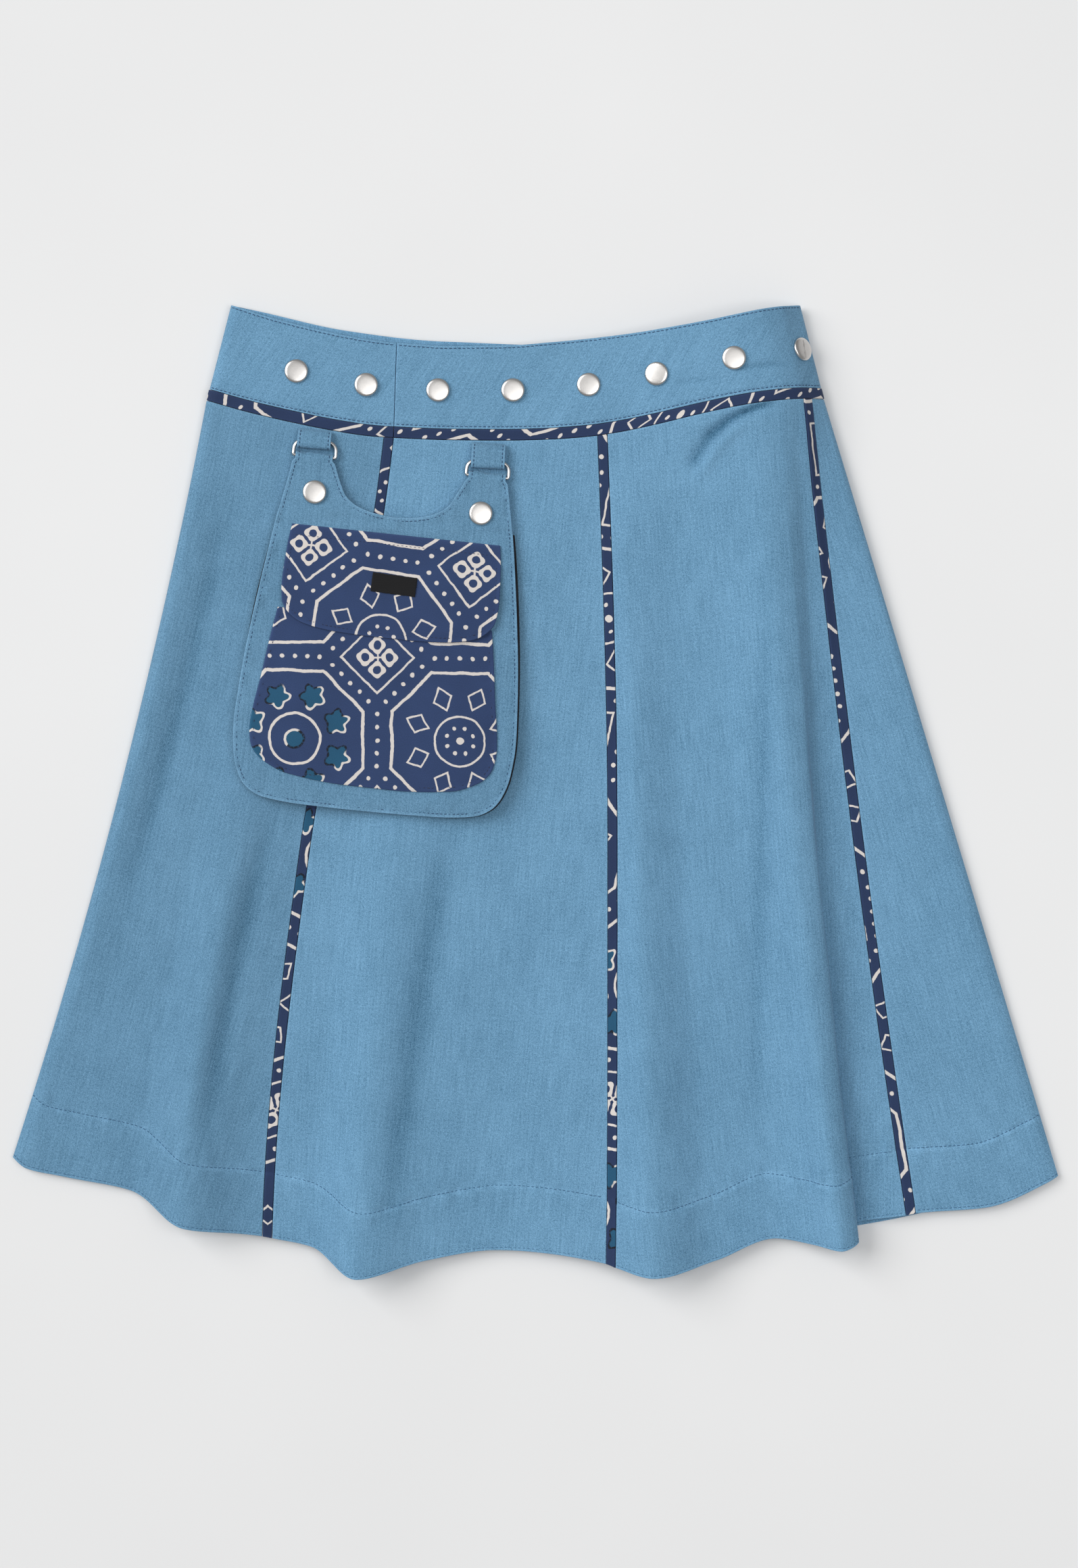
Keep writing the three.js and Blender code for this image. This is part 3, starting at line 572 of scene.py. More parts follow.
# Noise in the denim, from single yarns to washed patches: size across and along, detail and offset
DENIM_NOISE = [
    ((0.55, 0.7), 2, 0.0), ((1.3, 1.6), 2, 19.0), ((0.9, 26), 2, 7.0), ((18, 0.8), 1, 11.0),
    ((9, 14), 2, 23.0), ((38, 55), 3, 15.0),
]


# Fine denim: light and dark yarns, long pale slubs down the cloth, broad washed patches, worn edges and
# painted shade at the bottoms of creases
def denim_look(name, tone=1.0):
    look = Look(name, 0.88, Sheen_Weight=0.12, Sheen_Roughness=0.5, Specular_IOR_Level=0.25)
    across, along = look.flat()
    yarn, fleck, slub, weft, blotch, patch = (look.noise(across, along, *row) for row in DENIM_NOISE)
    twill = look.noise(across + along * 0.6, along, (0.5, 2.2), 1, 4.0)
    fine = yarn * 1.15 + fleck * 0.5 + twill * 0.3
    shade = fine + slub * 0.42 + weft * 0.12 + blotch * 0.16 + patch * 0.22
    shade = shade + look.wear_and_crease_shade() * 0.25
    look.set("Base Color", look.shade(shade, scaled(DENIM_DARK, tone), scaled(DENIM_PALE, tone)))
    look.bump(yarn + fleck * 0.5 + twill * 0.6 + slub * 0.5, 0.25, 0.4)
    return look.material


# Block print: octagons in a square lattice, rows of dots in the lanes between them, and squares on their
# corners. Every other octagon holds a ring of dots and open diamonds, and the rest a disc and flowers.
PRINT_PITCH = 103
OCTAGON = 42.5
LANE_DOTS = {"straight": 51.5, "slanting": 49.5, "pitch": 7.9, "radius": 1.35}
CORNER_SQUARE = 16
CORNER_RING = {"at": 7.6, "outer": 4.9, "hole": 2.6}
CIRCLE = 15.6
INNER_DOTS = {"at": 8.6, "radius": 1.2, "middle": 2.3}
DISC = 5.6
WREATH = 15.9
BROAD_LINE = 0.95
LINE = 0.62
PETAL_LINE = 0.75
DIAMOND = {"at": 28, "long": 8.0, "wide": 6.6, "line": 0.21}
FLOWER = {"at": 28.5, "radius": 6.6, "petal": 1.3}


def print_look(name, tone=1.0):
    look = Look(name, 0.84, Sheen_Weight=0.08, Specular_IOR_Level=0.25)
    across, along = look.flat()

    def ink(distance, width=0.0):
        return (distance * (-1 / INK_EDGE) + (width / INK_EDGE + 0.5)).held()

    def length(a, b):
        return (a * a + b * b).math("SQRT")

    # The hand that printed it wavers a little
    def wobble(seed):
        wide = look.noise(across, along, (16, 16), 1, seed)
        return wide * 2.6 + look.noise(across, along, (3, 3), 1, seed + 5) * 0.7

    x, y = across + wobble(20.0), along + wobble(40.0)
    column = (x / PRINT_PITCH).math("FLOOR")
    row = (y / PRINT_PITCH).math("FLOOR")
    flowers = (column + row).math("FLOORED_MODULO", 2.0)
    cx = x - (column + 0.5) * PRINT_PITCH
    cy = y - (row + 0.5) * PRINT_PITCH
    ax, ay = abs(cx), abs(cy)
    far, close = ax.most(ay), ax.least(ay)
    slant = (far + close) * math.sqrt(0.5)
    inside = far.most(slant)
    cream = ink(abs(inside - OCTAGON), BROAD_LINE)

    def dots(across_lane, along_lane):
        step = LANE_DOTS["pitch"]
        offset = (along_lane + step / 2).math("FLOORED_MODULO", step) - step / 2
        return ink(length(across_lane, offset), LANE_DOTS["radius"])

    on_slant = slant.math("GREATER_THAN", far)
    straight = dots(far - LANE_DOTS["straight"], close)
    slanting = dots(slant - LANE_DOTS["slanting"], (far - close) * math.sqrt(0.5))
    ex, ey = ax * -1 + PRINT_PITCH / 2, ay * -1 + PRINT_PITCH / 2
    square = (ex + ey) * math.sqrt(0.5)
    in_square = square.math("LESS_THAN", CORNER_SQUARE + 3.0)
    lane = (straight * on_slant.rest()).most(slanting * on_slant) * in_square.rest()
    cream = cream.most(lane).most(ink(abs(square - CORNER_SQUARE), LINE))
    off = ex.most(ey) - CORNER_RING["at"]
    side = ex.least(ey)
    ring_r = length(off, side)
    ring_a = side.math("ARCTAN2", off)
    lobed = ring_r - (ring_a * 4).math("COSINE") * 0.55
    ring = ink(lobed, CORNER_RING["outer"]) * ink(ring_r, CORNER_RING["hole"]).rest()
    stem = ink(side, 0.5) * ink(ex.most(ey), CORNER_RING["at"] - CORNER_RING["hole"])
    cream = cream.most(ring).most(stem)

    # Eight motifs stand round each centre
    radius = length(cx, cy)
    angle = cy.math("ARCTAN2", cx)
    eighth = math.pi / 4
    turned = (angle + eighth).math("FLOORED_MODULO", eighth) - eighth / 2
    mx = radius * turned.math("COSINE")
    my = radius * turned.math("SINE")
    away = mx - DIAMOND["at"]
    diamond = abs(away) / DIAMOND["long"] + abs(my) / DIAMOND["wide"]
    ringed = ink(abs(radius - CIRCLE), LINE)
    inner = ink(length(mx - INNER_DOTS["at"], my), INNER_DOTS["radius"])
    kind_1 = ringed.most(inner).most(ink(radius, INNER_DOTS["middle"]))
    kind_1 = kind_1.most(ink((abs(diamond - (1 - DIAMOND["line"] / 2)) - DIAMOND["line"] / 2) * 7))
    fx = mx - FLOWER["at"]
    flower_a = my.math("ARCTAN2", fx)
    petals = length(fx, my) - (flower_a * 5 + angle * 2).math("COSINE") * FLOWER["petal"]
    disc = radius - DISC
    teal = ink(petals, FLOWER["radius"]).most(ink(disc)) * flowers
    rim = ink(abs(petals - FLOWER["radius"]), PETAL_LINE).most(ink(abs(disc), PETAL_LINE))
    lit = (flower_a + angle + 0.6).math("COSINE") + look.noise(across, along, (5, 5), 1, 3.0) * 1.6
    drawn = (lit * 3).held()
    kind_2 = ink(abs(radius - WREATH), 0.8).most(rim * drawn)
    cream = cream.most(kind_1 * flowers.rest()).most(kind_2 * flowers)
    cracked = rim * drawn.rest() * flowers

    # Ink takes unevenly, the ground shows yarns and faint patches, worn edges are paler, and painted shade
    # darkens the bottoms of creases
    grain = look.noise(across, along, (0.5, 0.6), 2)
    patch = look.noise(across, along, (30, 30), 3, 9.0)
    worn = look.noise(across, along, (1.6, 1.6), 2, 13.0)
    taken = grain * 0.7 + patch * 0.5 + look.wear_and_crease_shade() * 0.35
    ground = look.shade(taken, scaled(INDIGO, 0.62 * tone), scaled(INDIGO, 1.5 * tone))
    painted = look.shade(taken, scaled(TEAL, 0.7), scaled(TEAL, 1.4))
    pale = look.shade(taken, scaled(CREAM, 0.86), scaled(CREAM, 1.08))
    colour = look.mix(teal, ground, painted)
    colour = look.mix((cracked * (worn * 4 + 0.9)).held(), colour, CRACKLE)
    colour = look.mix((cream * (worn * 1.2 + 1.25)).held(), colour, pale)
    look.set("Base Color", colour)
    look.bump(grain, 0.15, 0.3)
    return look.material


# Dark woven lining and label
def lining_look(name, colour):
    look = Look(name, 0.8, Sheen_Weight=0.1, Specular_IOR_Level=0.3)
    x, y, _ = look.place()
    grain = look.noise(x, y, (0.35, 0.9), 2)
    ribs = (y * (2 * math.pi / 0.7)).math("SINE") * 0.5
    look.set("Base Color", look.shade(grain * 0.9 + ribs * 0.3, scaled(colour, 0.5), scaled(colour, 1.9)))
    look.bump(grain + ribs, 0.12, 0.5)
    return look.material


# Polished nickel with a fine satin haze and rubbed patches
def metal_look(name, roughness, tone):
    look = Look(name, roughness, Metallic=1.0)
    x, y, z = look.place()
    haze = look.noise(x, y, (0.5, 0.5), 3)
    rub = look.noise(x, y, (5, 5), 2, 3.0)
    look.set("Base Color", look.shade(haze * 0.4 + rub * 0.3, scaled(tone, 0.86), scaled(tone, 1.1)))
    look.set("Roughness", (haze * 0.02 + rub * 0.04 + roughness).math("MAXIMUM", 0.05))
    return look.material


def thread_look(name, colour):
    look = Look(name, 0.75, Sheen_Weight=0.2)
    x, y, _ = look.place()
    twist = ((x + y) * (2 * math.pi / 0.45)).math("SINE") * 0.5
    grain = look.noise(x, y, (4, 4), 2)
    look.set("Base Color", look.shade(twist * 0.6 + grain * 0.8, scaled(colour, 0.7), scaled(colour, 1.35)))
    look.bump(twist, 0.08, 0.5)
    return look.material


DENIM = denim_look("denim_cloth")
LEFT_DENIM = denim_look("denim_left", 0.88)
POUCH_DENIM = denim_look("denim_of_pouch", 0.84)
PRINT = print_look("block_print")
STRIP_PRINT = print_look("block_print_of_strips", 0.72)
LINING = lining_look("black_lining", srgb(20, 22, 27))
LABEL_CLOTH = lining_look("black_label", srgb(17, 17, 19))
NICKEL = metal_look("nickel", 0.3, srgb(216, 213, 210))
WIRE_METAL = metal_look("nickel_wire", 0.28, srgb(206, 206, 206))
THREAD = thread_look("blue_thread", THREAD_BLUE)
HEM_THREAD = thread_look("hem_thread", srgb(56, 102, 138))
DARK_THREAD = thread_look("dark_thread", srgb(30, 42, 78))

EDGE_STEPS = np.array([0, 0.08, 0.25, EDGE_ROUND, 1.2])  # distances from a piece's edge
FLOOR_CLEAR = (0.01, 0.02)  # least heights of the cloth's outer and inner faces
PAINTED_CREASE_SHADE = 1.6  # painted shade: how much a crease's bottom is darkened, given through the wear values
SHEETS = {}


# Worn brightness along an edge or a line of stitches
def worn_at(distance, amount, width):
    return amount * near(distance - 0.3, width)


def grid_area(grid):
    a, b, c, d = grid[:-1, :-1], grid[1:, :-1], grid[1:, 1:], grid[:-1, 1:]
    return sum(np.linalg.norm(np.cross(p - a, q - a), axis=-1) for p, q in ((b, c), (c, d))).sum() / 2


# Heights v of a piece's lines: close together at both its ends, and in rows between
def line_heights(top, bottom, length, rows):
    edge = EDGE_STEPS + SEAM_GAP / 2
    inside = np.concatenate([np.arange(*row) for row in rows])
    v = np.concatenate([top + edge / length, top + inside / length, bottom - edge / length])
    v = np.unique(np.round(v, 9))
    return v[(v >= top) & (v <= bottom)]


# Places u across a piece on each of its lines: close together at both its sides, and in even steps between
def line_places(here, first, last, step, bottom):
    edge = EDGE_STEPS + SEAM_GAP / 2
    hem = Lines([max(bottom, 0)])
    us = [first]
    for i in range(first, last):
        parts = max(1, round(float(hem.t[0, i + 1] - hem.t[0, i]) / step))
        us.extend(i + np.arange(1, parts + 1) / parts)
    share = (np.array(us[1:-1]) - first) / (last - first) if len(us) > 2 else np.array([0.5])
    low = first + edge / (here.t[:, first + 1] - here.t[:, first])[:, None]
    high = last - edge[::-1] / (here.t[:, last] - here.t[:, last - 1])[:, None]
    return np.concatenate([low, low[:, -1:] + (high[:, :1] - low[:, -1:]) * share, high], 1)


# A piece of cloth between two rails and two heights, its edges drawn in by half a seam's gap
def cloth_piece(name, node, start, end, top, bottom, step, rows, thick, lift, material, turn=None):
    first, last = RAIL[start], RAIL[end]
    on_band = bottom < 0
    above_seam = top < 0
    middle = (first + last) / 2
    length = float(by_rail(BAND_LENGTH if above_seam else RAIL_LENGTH, middle))
    v = line_heights(top, bottom, length, rows)
    here = Lines(v)
    u = line_places(here, first, last, step, bottom)
    v = v[:, None]
    _, point, normal = surface(v[:, 0], u)
    x, y = point[..., 0], point[..., 1]
    along = here.along(u)
    side = np.minimum(along - here.t[:, first:first + 1], here.t[:, last:last + 1] - along)
    down = (v - top) * length
    distance = np.minimum(side, np.minimum(down, (bottom - top) * length - down)) - SEAM_GAP / 2
    raised = (u > FIRST_FRONT) & (u < LAST_FRONT)
    height = relief(x, y, u, v, on_band) + (lift - edge_drop(distance)) * raised
    outer = point + normal * height[..., None]
    inner = point + normal * (np.minimum(height, lift * raised) - thick)[..., None]
    for face, least in zip((outer, inner), FLOOR_CLEAR):
        face[..., 2] = np.maximum(face[..., 2], least)
    flat = along - here.along(np.full(v.shape, middle)), -(v - top) * by_rail(RAIL_LENGTH, u)
    if above_seam:
        flat = along, v * length + 0 * along
    if turn:
        angle, *shift = turn
        flat = [place + by for place, by in zip(spun(*flat, angle), shift)]
    worn = worn_at(distance, 0.4, 0.7)
    if not on_band:
        from_hem = (1 - v) * by_rail(RAIL_LENGTH, u)
        patchy = 0.5 + noise(x / 3, y / 3, 12)
        worn = np.maximum(worn, 0.6 * near(from_hem - HEM_DEPTH, 2.5) * patchy)
    # Painted shade: the bottoms of the front's creases are darkened by lowering the values that make worn
    # edges paler
    worn = worn - PAINTED_CREASE_SHADE * creased(x, y) * raised
    points, faces = wall(outer, inner)
    made = piece(name, points, faces.tolist(), material, node, np.stack(flat, -1), worn)
    SHEETS[node] = made, float(np.ptp(along, axis=1).max()), float(down.max()), float(grid_area(outer))


FRONT_ROWS = [(3, 80, 2), (80, 410, 4), (410, 448, 2.4), (448, 474, 0.9), (474, 560, 1.6)]
BACK_ROWS = [(10, 560, 12)]
GORES = [
    ("gore_1_inner_flap", "inner_end", "seam_1_start", 12, BACK_ROWS),
    ("gore_2_back_left", "seam_1_end", "seam_2_start", 12, BACK_ROWS),
    ("gore_3_left", "seam_2_end", "seam_3_start", 2, FRONT_ROWS),
    ("gore_4_front_left", "seam_3_end", "seam_4_start", 2.6, FRONT_ROWS),
    ("gore_5_front_right", "seam_4_end", "seam_5_start", 2, FRONT_ROWS),
    ("gore_6_right", "seam_5_end", "seam_6_start", 2.6, FRONT_ROWS),
    ("gore_7_outer_flap", "seam_6_end", "outer_end", 12, BACK_ROWS),
]
for node, start, end, step, rows in GORES:
    denim = LEFT_DENIM if node == "gore_3_left" else DENIM
    cloth_piece("cloth_" + node, node, start, end, 0, 1, step, rows, CLOTH, 0, denim)
STRIP_TURNS = [(38, 10, 20), (-33, 60, 5), (24, 31, 80), (-31, 8, 47), (43, 70, 12), (-28, 40, 66)]
for k, turn in enumerate(STRIP_TURNS, 1):
    node = f"strip_{k}"
    cloth_piece("printed_" + node, node, f"seam_{k}_start", f"seam_{k}_end", 0, 1, 1.5, FRONT_ROWS,
                CLOTH, STRIP_LIFT, STRIP_PRINT, turn)
BAND_ROWS = [(1.4, 5, 0.5), (5, 48, 2), (48, 56, 0.5)]
TRIM_ROWS = [(1.4, 6, 0.8)]
for side, start, end, turn in (("left", "inner_end", "seam_3_end", (24, 12, 40)),
                               ("right", "seam_3_end", "outer_end", (-27, 30, 18))):
    cloth_piece("waistband_" + side, "band_" + side, start, end, -1, TRIM_TOP, 2.5, BAND_ROWS,
                BAND_CLOTH, 0, DENIM)
    cloth_piece("printed_trim_" + side, "trim_" + side, start, end, TRIM_TOP, 0, 2, TRIM_ROWS,
                CLOTH, STRIP_LIFT, STRIP_PRINT, turn)

# The pouch, in its own frame: x across it, y up it from half way between its rings' bars. The tables hold a
# distance down and half a width there.
POUCH = {"x": -84.9, "y": 203, "z": 10.3, "spin": -5.5, "rise": 4.9, "long": 218}
OUTLINE = [
    (4, 67.8), (18, 70.3), (40, 74.5), (65, 78.3), (93, 82.1), (120, 85.3), (148, 87.5), (168, 88.4),
    (188, 86.6), (200, 82.9), (208, 77.4), (213.7, 66.5), (216.2, 44), (216.9, 0),
]
NECK = [(4, 40.8), (14, 36.4), (22, 32), (28, 23.4), (31.4, 10), (32.2, 0)]
POCKET = [
    (96, 67.2), (118, 70.6), (142, 73.8), (160, 76.6), (171, 77.5), (182, 76), (189, 71.5), (194, 64),
    (198.5, 52), (202, 12),
]
FLAP = [(43, 65.2), (56, 66.9), (80, 68.1), (91, 67), (98.5, 62.3), (104.2, 52.5), (107.3, 34), (108.2, 12)]
BODY_BELOW = 36
BACKING = {"low": LIE_GAP, "thick": 2.2, "proud": 0.9}
FACE = {"low": 2.9, "thick": 1.6}
ON_FACE = FACE["low"] + FACE["thick"] + SEAM_GAP
POCKET_SHELL = {"table": POCKET, "shift": -0.6, "crown": 2.6, "lap": 0, "slope": -0.016}
FLAP_SHELL = {"table": FLAP, "shift": 1.4, "crown": 1.6, "lap": 3.2, "slope": -0.011}
LABEL = {"x": 3.2, "down": 74.6, "width": 28, "height": 12, "turn": -2.3, "thick": 0.8}
STRAP_X = 54.4
RING_SKEW = 1.1
STRAP_WIDTH = 23.4
STRAP_STUDS = {"left": (-51.9, 21.4), "right": (52.7, 24.7)}
WIRE = 1.2
WIRE_HEIGHT = 2.9
TURN_OUT = 2.5

TILT = -math.degrees(math.atan(POUCH["rise"] / POUCH["long"]))
POUCH_AT = np.array([POUCH["x"], POUCH["y"], POUCH["z"]])
TILTED = np.array([(x, *spun(y, z, TILT)) for x, y, z in np.eye(3)]).T
POUCH_AXES = np.array([(*spun(x, y, POUCH["spin"]), z) for x, y, z in TILTED.T]).T


def from_pouch(points):
    return np.asarray(points) @ POUCH_AXES.T + POUCH_AT


# Points at even steps along a smooth curve through the given ones
def smooth_path(points, step):
    t = lengths_along(points)
    places = np.linspace(0, t[-1], max(2, round(t[-1] / step) + 1))
    return np.stack([curve_at(t, column, places) for column in np.transpose(points)], 1)


# The outline moved in by a distance, its points kept one for one
def inset(outline, distance):
    after = unit(np.roll(outline, -1, 0) - outline)
    after = np.stack(spun(*after.T, 90), 1)
    before = np.roll(after, 1, 0)
    mean = before + after
    mean /= np.maximum((mean * before).sum(1, keepdims=True), 0.6)
    return outline + mean * distance


# Triangles over a closed outline, counterclockwise, close together along it: their points and corners
def cut_mesh(outline, step):
    rings = [outline if d == 0 else inset(outline, d) for d in EDGE_STEPS]
    low, high = outline.min(0), outline.max(0)
    grid = np.stack(np.meshgrid(*(np.arange(low[k], high[k], step * (1, 0.87)[k]) for k in (0, 1))), -1)
    grid[1::2, :, 0] += step / 2
    grid = grid.reshape(-1, 2)
    grid = grid[outline_distance(*grid.T, outline) > EDGE_STEPS[-1] + step * 0.45]
    n = len(outline)
    edges = [(k + r * n, (k + 1) % n + r * n) for r in range(1, len(rings)) for k in range(n)]
    places = [Vector(p) for p in np.concatenate([*rings, grid]).tolist()]
    found = delaunay_2d_cdt(places, edges, [list(range(n))], 1, 1e-4)
    flat = np.array([tuple(p) for p in found[0]])
    faces = np.array(found[2])
    a, b, c = (flat[faces[:, k]] for k in range(3))
    turned = np.cross(b - a, c - a) < 0
    faces[turned] = faces[turned][:, ::-1]
    used, faces = np.unique(faces, return_inverse=True)
    return flat[used], faces.reshape(-1, 3)


# Cloth cut to a closed outline. place(x, y, height) puts a point of it in the pouch's frame, and turn is the
# angle and shift of its print.
def cut_cloth(name, node, outline, step, thick, place, bumps, material, turn=(0, 0, 0)):
    flat, faces = cut_mesh(outline, step)
    x, y = flat.T
    distance = outline_distance(x, y, outline)
    height = thick - edge_drop(distance) + bumps(x, y, distance)
    outer = place(x, y, height)
    inner = place(x, y, np.minimum(0, height - 0.3))
    pairs = np.concatenate([faces[:, [0, 1]], faces[:, [1, 2]], faces[:, [2, 0]]]).tolist()
    known = {tuple(p) for p in pairs}
    a, b = np.array([p for p in pairs if (p[1], p[0]) not in known]).T
    count = len(flat)
    sides = [np.stack([b, a, a + count], 1), np.stack([b, a + count, b + count], 1)]
    solid = np.concatenate([faces, faces[:, ::-1] + count, *sides])
    points = from_pouch(np.concatenate([outer, inner]))
    laid = np.stack(spun(x, y, turn[0]), 1) + turn[1:]
    made = piece(name, points, solid.tolist(), material, node, laid, worn_at(distance, 0.9, 0.8))
    corners = flat[faces]
    area = np.abs(np.cross(corners[:, 1] - corners[:, 0], corners[:, 2] - corners[:, 0])).sum() / 2
    SHEETS[node] = made, *map(float, np.ptp(outline, axis=0)), float(area)


def mirrored(points):
    return [(-x, y) for x, y in reversed(points)]


def face_outline():
    right = smooth_path([(half, -down) for down, half in reversed(OUTLINE)], 1.8)
    neck = smooth_path([(half, -down) for down, half in NECK], 1.6)
    low_x, high_x = STRAP_X - STRAP_WIDTH / 2, STRAP_X + STRAP_WIDTH / 2
    up = np.arange(-2, STRAP_END, 1.5)
    strap = [(high_x, y) for y in up] + [(x, STRAP_END) for x in np.linspace(high_x, low_x, 14)]
    strap += [(low_x, y) for y in up[::-1]]
    half = [*map(tuple, right), *strap, *map(tuple, neck)]
    left = mirrored(half)
    return np.array(half + left[1:-1])


# Path of a strap's underside over its ring's bar: y and z, and the direction the cloth's thickness takes
FACE_FLAT = 12
TURN_IN = TURN_OUT - 1.0
TURN_PATH = np.array(
    [(-FACE_FLAT, FACE["low"]), (-9, 3.2), (-5, 4.0), (-2.5, 4.3)]
    + [(x, WIRE_HEIGHT + y) for x, y in (spun(TURN_IN, 0, angle) for angle in np.linspace(90, -90, 13))]
    + [(-3, WIRE_HEIGHT - TURN_IN), (-29, WIRE_HEIGHT - TURN_IN)]
)
TURN_ALONG = lengths_along(TURN_PATH)
TURN_OUTWARD = np.stack(spun(*unit(np.gradient(TURN_PATH, TURN_ALONG, axis=0)).T, 90), 1)
STRAP_END = TURN_ALONG[-1] - FACE_FLAT - 0.01


def place_face(x, y, height):
    a = np.clip(y + FACE_FLAT, 0, TURN_ALONG[-1])
    turned = y > -FACE_FLAT
    thinner = np.where(turned, 1 - 0.375 * smooth(a, 0, 8), 1)
    path, out = (columns_at(a, TURN_ALONG, table).T for table in (TURN_PATH, TURN_OUTWARD))
    h = height * thinner
    py = np.where(turned, path[0] + out[0] * h, y) - np.sign(x) * RING_SKEW * smooth(y, -16, -3)
    return np.stack([x, py, np.where(turned, path[1] + out[1] * h, FACE["low"] + h)], -1)


# Stitches' distances from a piece's edge, and where the flap's side stitches begin below its top
FACE_STITCH = 2.2
POCKET_STITCH = 2.5
FLAP_STITCH = 2.7
FLAP_TOP_STITCH = 6.8
FLAP_SIDE = 12


# Waves and puckers of the pouch's pieces, as layers of noise
FACE_WAVES = [(0.45, 22, 16, 22), (0.2, 9, 7, 23)]
FLAP_WAVES = [(0.35, 30, 22, 43), (0.1, 9, 9, 44)]
LEAST_BUMP = -0.7


# Stitched edge: a shallow channel with puckers beside it
def stitched(x, y, distance, inset_by, seed, pucker):
    channel = -0.5 * near(distance - inset_by, 0.7)
    return channel + near(distance - inset_by, 5) * waves(x, y, [(pucker, 5, 5, seed)])


def face_bumps(x, y, distance):
    height = stitched(x, y, distance, FACE_STITCH, 21, 0.9) + waves(x, y, FACE_WAVES)
    fold = smooth(y, -14, -6) * (1 - smooth(y, 6, 9))
    height = height + fold * (0.6 * noise(x / 2.6, y / 12, 24) - 0.15)
    above_flap = near(y + 37, 6) * (np.abs(x) < 80)
    return np.maximum(height + above_flap * waves(x, y, [(1.2, 15, 4, 25)]), LEAST_BUMP)


def place_shell(form):
    table = form["table"]

    def place(x, y, height):
        down = np.clip(-y, table[0][0], table[-1][0])
        side = np.clip((x - form["shift"]) / on_curve(table, down), -1, 1)
        along = (down - table[0][0]) / (table[-1][0] - table[0][0])
        bulge = form["crown"] * np.sqrt(np.maximum(np.sin(np.pi * along), 0)) * (1 - side**4)
        sloped = y + form["slope"] * (x - form["shift"])
        return np.stack([x, sloped, ON_FACE + bulge + form["lap"] * along + height], -1)

    return place


def shell_outline(form):
    step = 1.7
    table = form["table"]
    half = [tuple(p) for p in smooth_path([(half, -down) for down, half in reversed(table)], step)]
    (top, top_half), (low, low_half) = table[0], table[-1]
    across = np.linspace(top_half, -top_half, round(2 * top_half / step))[1:-1]
    foot = np.linspace(-low_half, low_half, round(2 * low_half / step))[1:-1]
    whole = [*half, *((x, -top) for x in across), *mirrored(half), *((x, -low) for x in foot)]
    return np.array(whole) + (form["shift"], 0)


def pocket_bumps(x, y, distance):
    height = stitched(x, y, distance, POCKET_STITCH, 31, 0.1)
    height = height + 0.25 * near(distance - 1.2, 1) + 0.22 * noise(x / 26, y / 26, 32)
    return np.maximum(height, LEAST_BUMP)


def flap_bumps(x, y, distance):
    below_top = -y - FLAP[0][0]
    lower = np.where(below_top > FLAP_SIDE, distance, 9)
    height = stitched(x, y, lower, FLAP_STITCH, 41, 0.4)
    height = height - 0.35 * near(below_top - FLAP_TOP_STITCH, 0.8)
    height = height + near(below_top - FLAP_TOP_STITCH, 4) * waves(x, y, [(0.18, 4, 8, 42)])
    return np.maximum(height + waves(x, y, FLAP_WAVES), LEAST_BUMP)


# The dark backing stands out past the face by a little more at some heights, as (down, width, amount)
BACKING_RIGHT = (75, 45, 0.6)
BACKING_LEFT = (84, 24, 0.9)


def backing_outline():
    rows = [(down, half) for down, half in OUTLINE if down > BODY_BELOW and half > 1]
    rows = [(BODY_BELOW, float(on_curve(OUTLINE, BODY_BELOW))), *rows]

    def side(sign, proud, bulge):
        down_at, width, amount = bulge
        return [(sign * (half + proud + amount * near(down - down_at, width)), -down) for down, half in rows]

    up = smooth_path(side(1, BACKING["proud"], BACKING_RIGHT)[::-1], 2)
    down = smooth_path(side(-1, 0, BACKING_LEFT), 2)
    top = np.linspace(up[-1], down[0], 60)[1:-1]
    foot = np.linspace(down[-1], up[0], 30)[1:-1]
    return np.concatenate([up, top, down, foot])


PRINT_TURNS = {"pocket": (-5.5, 117.4, 325.8), "flap": (3, 47.6, 161.1)}
cut_cloth("pouch_back", "pouch_backing", backing_outline(), 6, BACKING["thick"],
          lambda x, y, h: np.stack([x, y, BACKING["low"] + h], -1), lambda x, y, d: 0 * x, LINING)
cut_cloth("pouch_front", "pouch_face", face_outline(), 1.8, FACE["thick"], place_face, face_bumps,
          POUCH_DENIM)
cut_cloth("pouch_pocket_front", "pouch_pocket", shell_outline(POCKET_SHELL), 2.4, CLOTH,
          place_shell(POCKET_SHELL), pocket_bumps, PRINT, PRINT_TURNS["pocket"])
cut_cloth("pouch_pocket_flap", "pouch_flap", shell_outline(FLAP_SHELL), 2.2, CLOTH,
          place_shell(FLAP_SHELL), flap_bumps, PRINT, PRINT_TURNS["flap"])


def label_outline():
    w, h = LABEL["width"] / 2, LABEL["height"] / 2
    corners = [(-w, -h), (w, -h), (w, h), (-w, h), (-w, -h)]
    points = []
    for (ax, ay), (bx, by) in zip(corners, corners[1:]):
        count = round(math.hypot(bx - ax, by - ay) / 0.9)
        points += [(ax + (bx - ax) * k / count, ay + (by - ay) * k / count) for k in range(count)]
    points = np.array(points)
    points += 0.12 * np.random.default_rng(5).uniform(-1, 1, points.shape)
    return np.stack(spun(*points.T, LABEL["turn"]), 1) + (LABEL["x"], -LABEL["down"])


def place_label(x, y, height):
    level = y - FLAP_SHELL["slope"] * (x - FLAP_SHELL["shift"])
    return place_shell(FLAP_SHELL)(x, level, height + CLOTH + SEAM_GAP)


cut_cloth("blank_label", "pouch_label", label_outline(), 1.6, LABEL["thick"], place_label,
          lambda x, y, d: 0.12 * noise(x / 7, y / 4, 51), LABEL_CLOTH)


# Denim loops under the waistband
LOOP_WIDTH = 21
LOOP_START = 2.2
LOOPS = [("left", -138.4, 11.8, -5), ("right", -29.8, 15.9, -3)]
LOOP_LAYER = 0.8


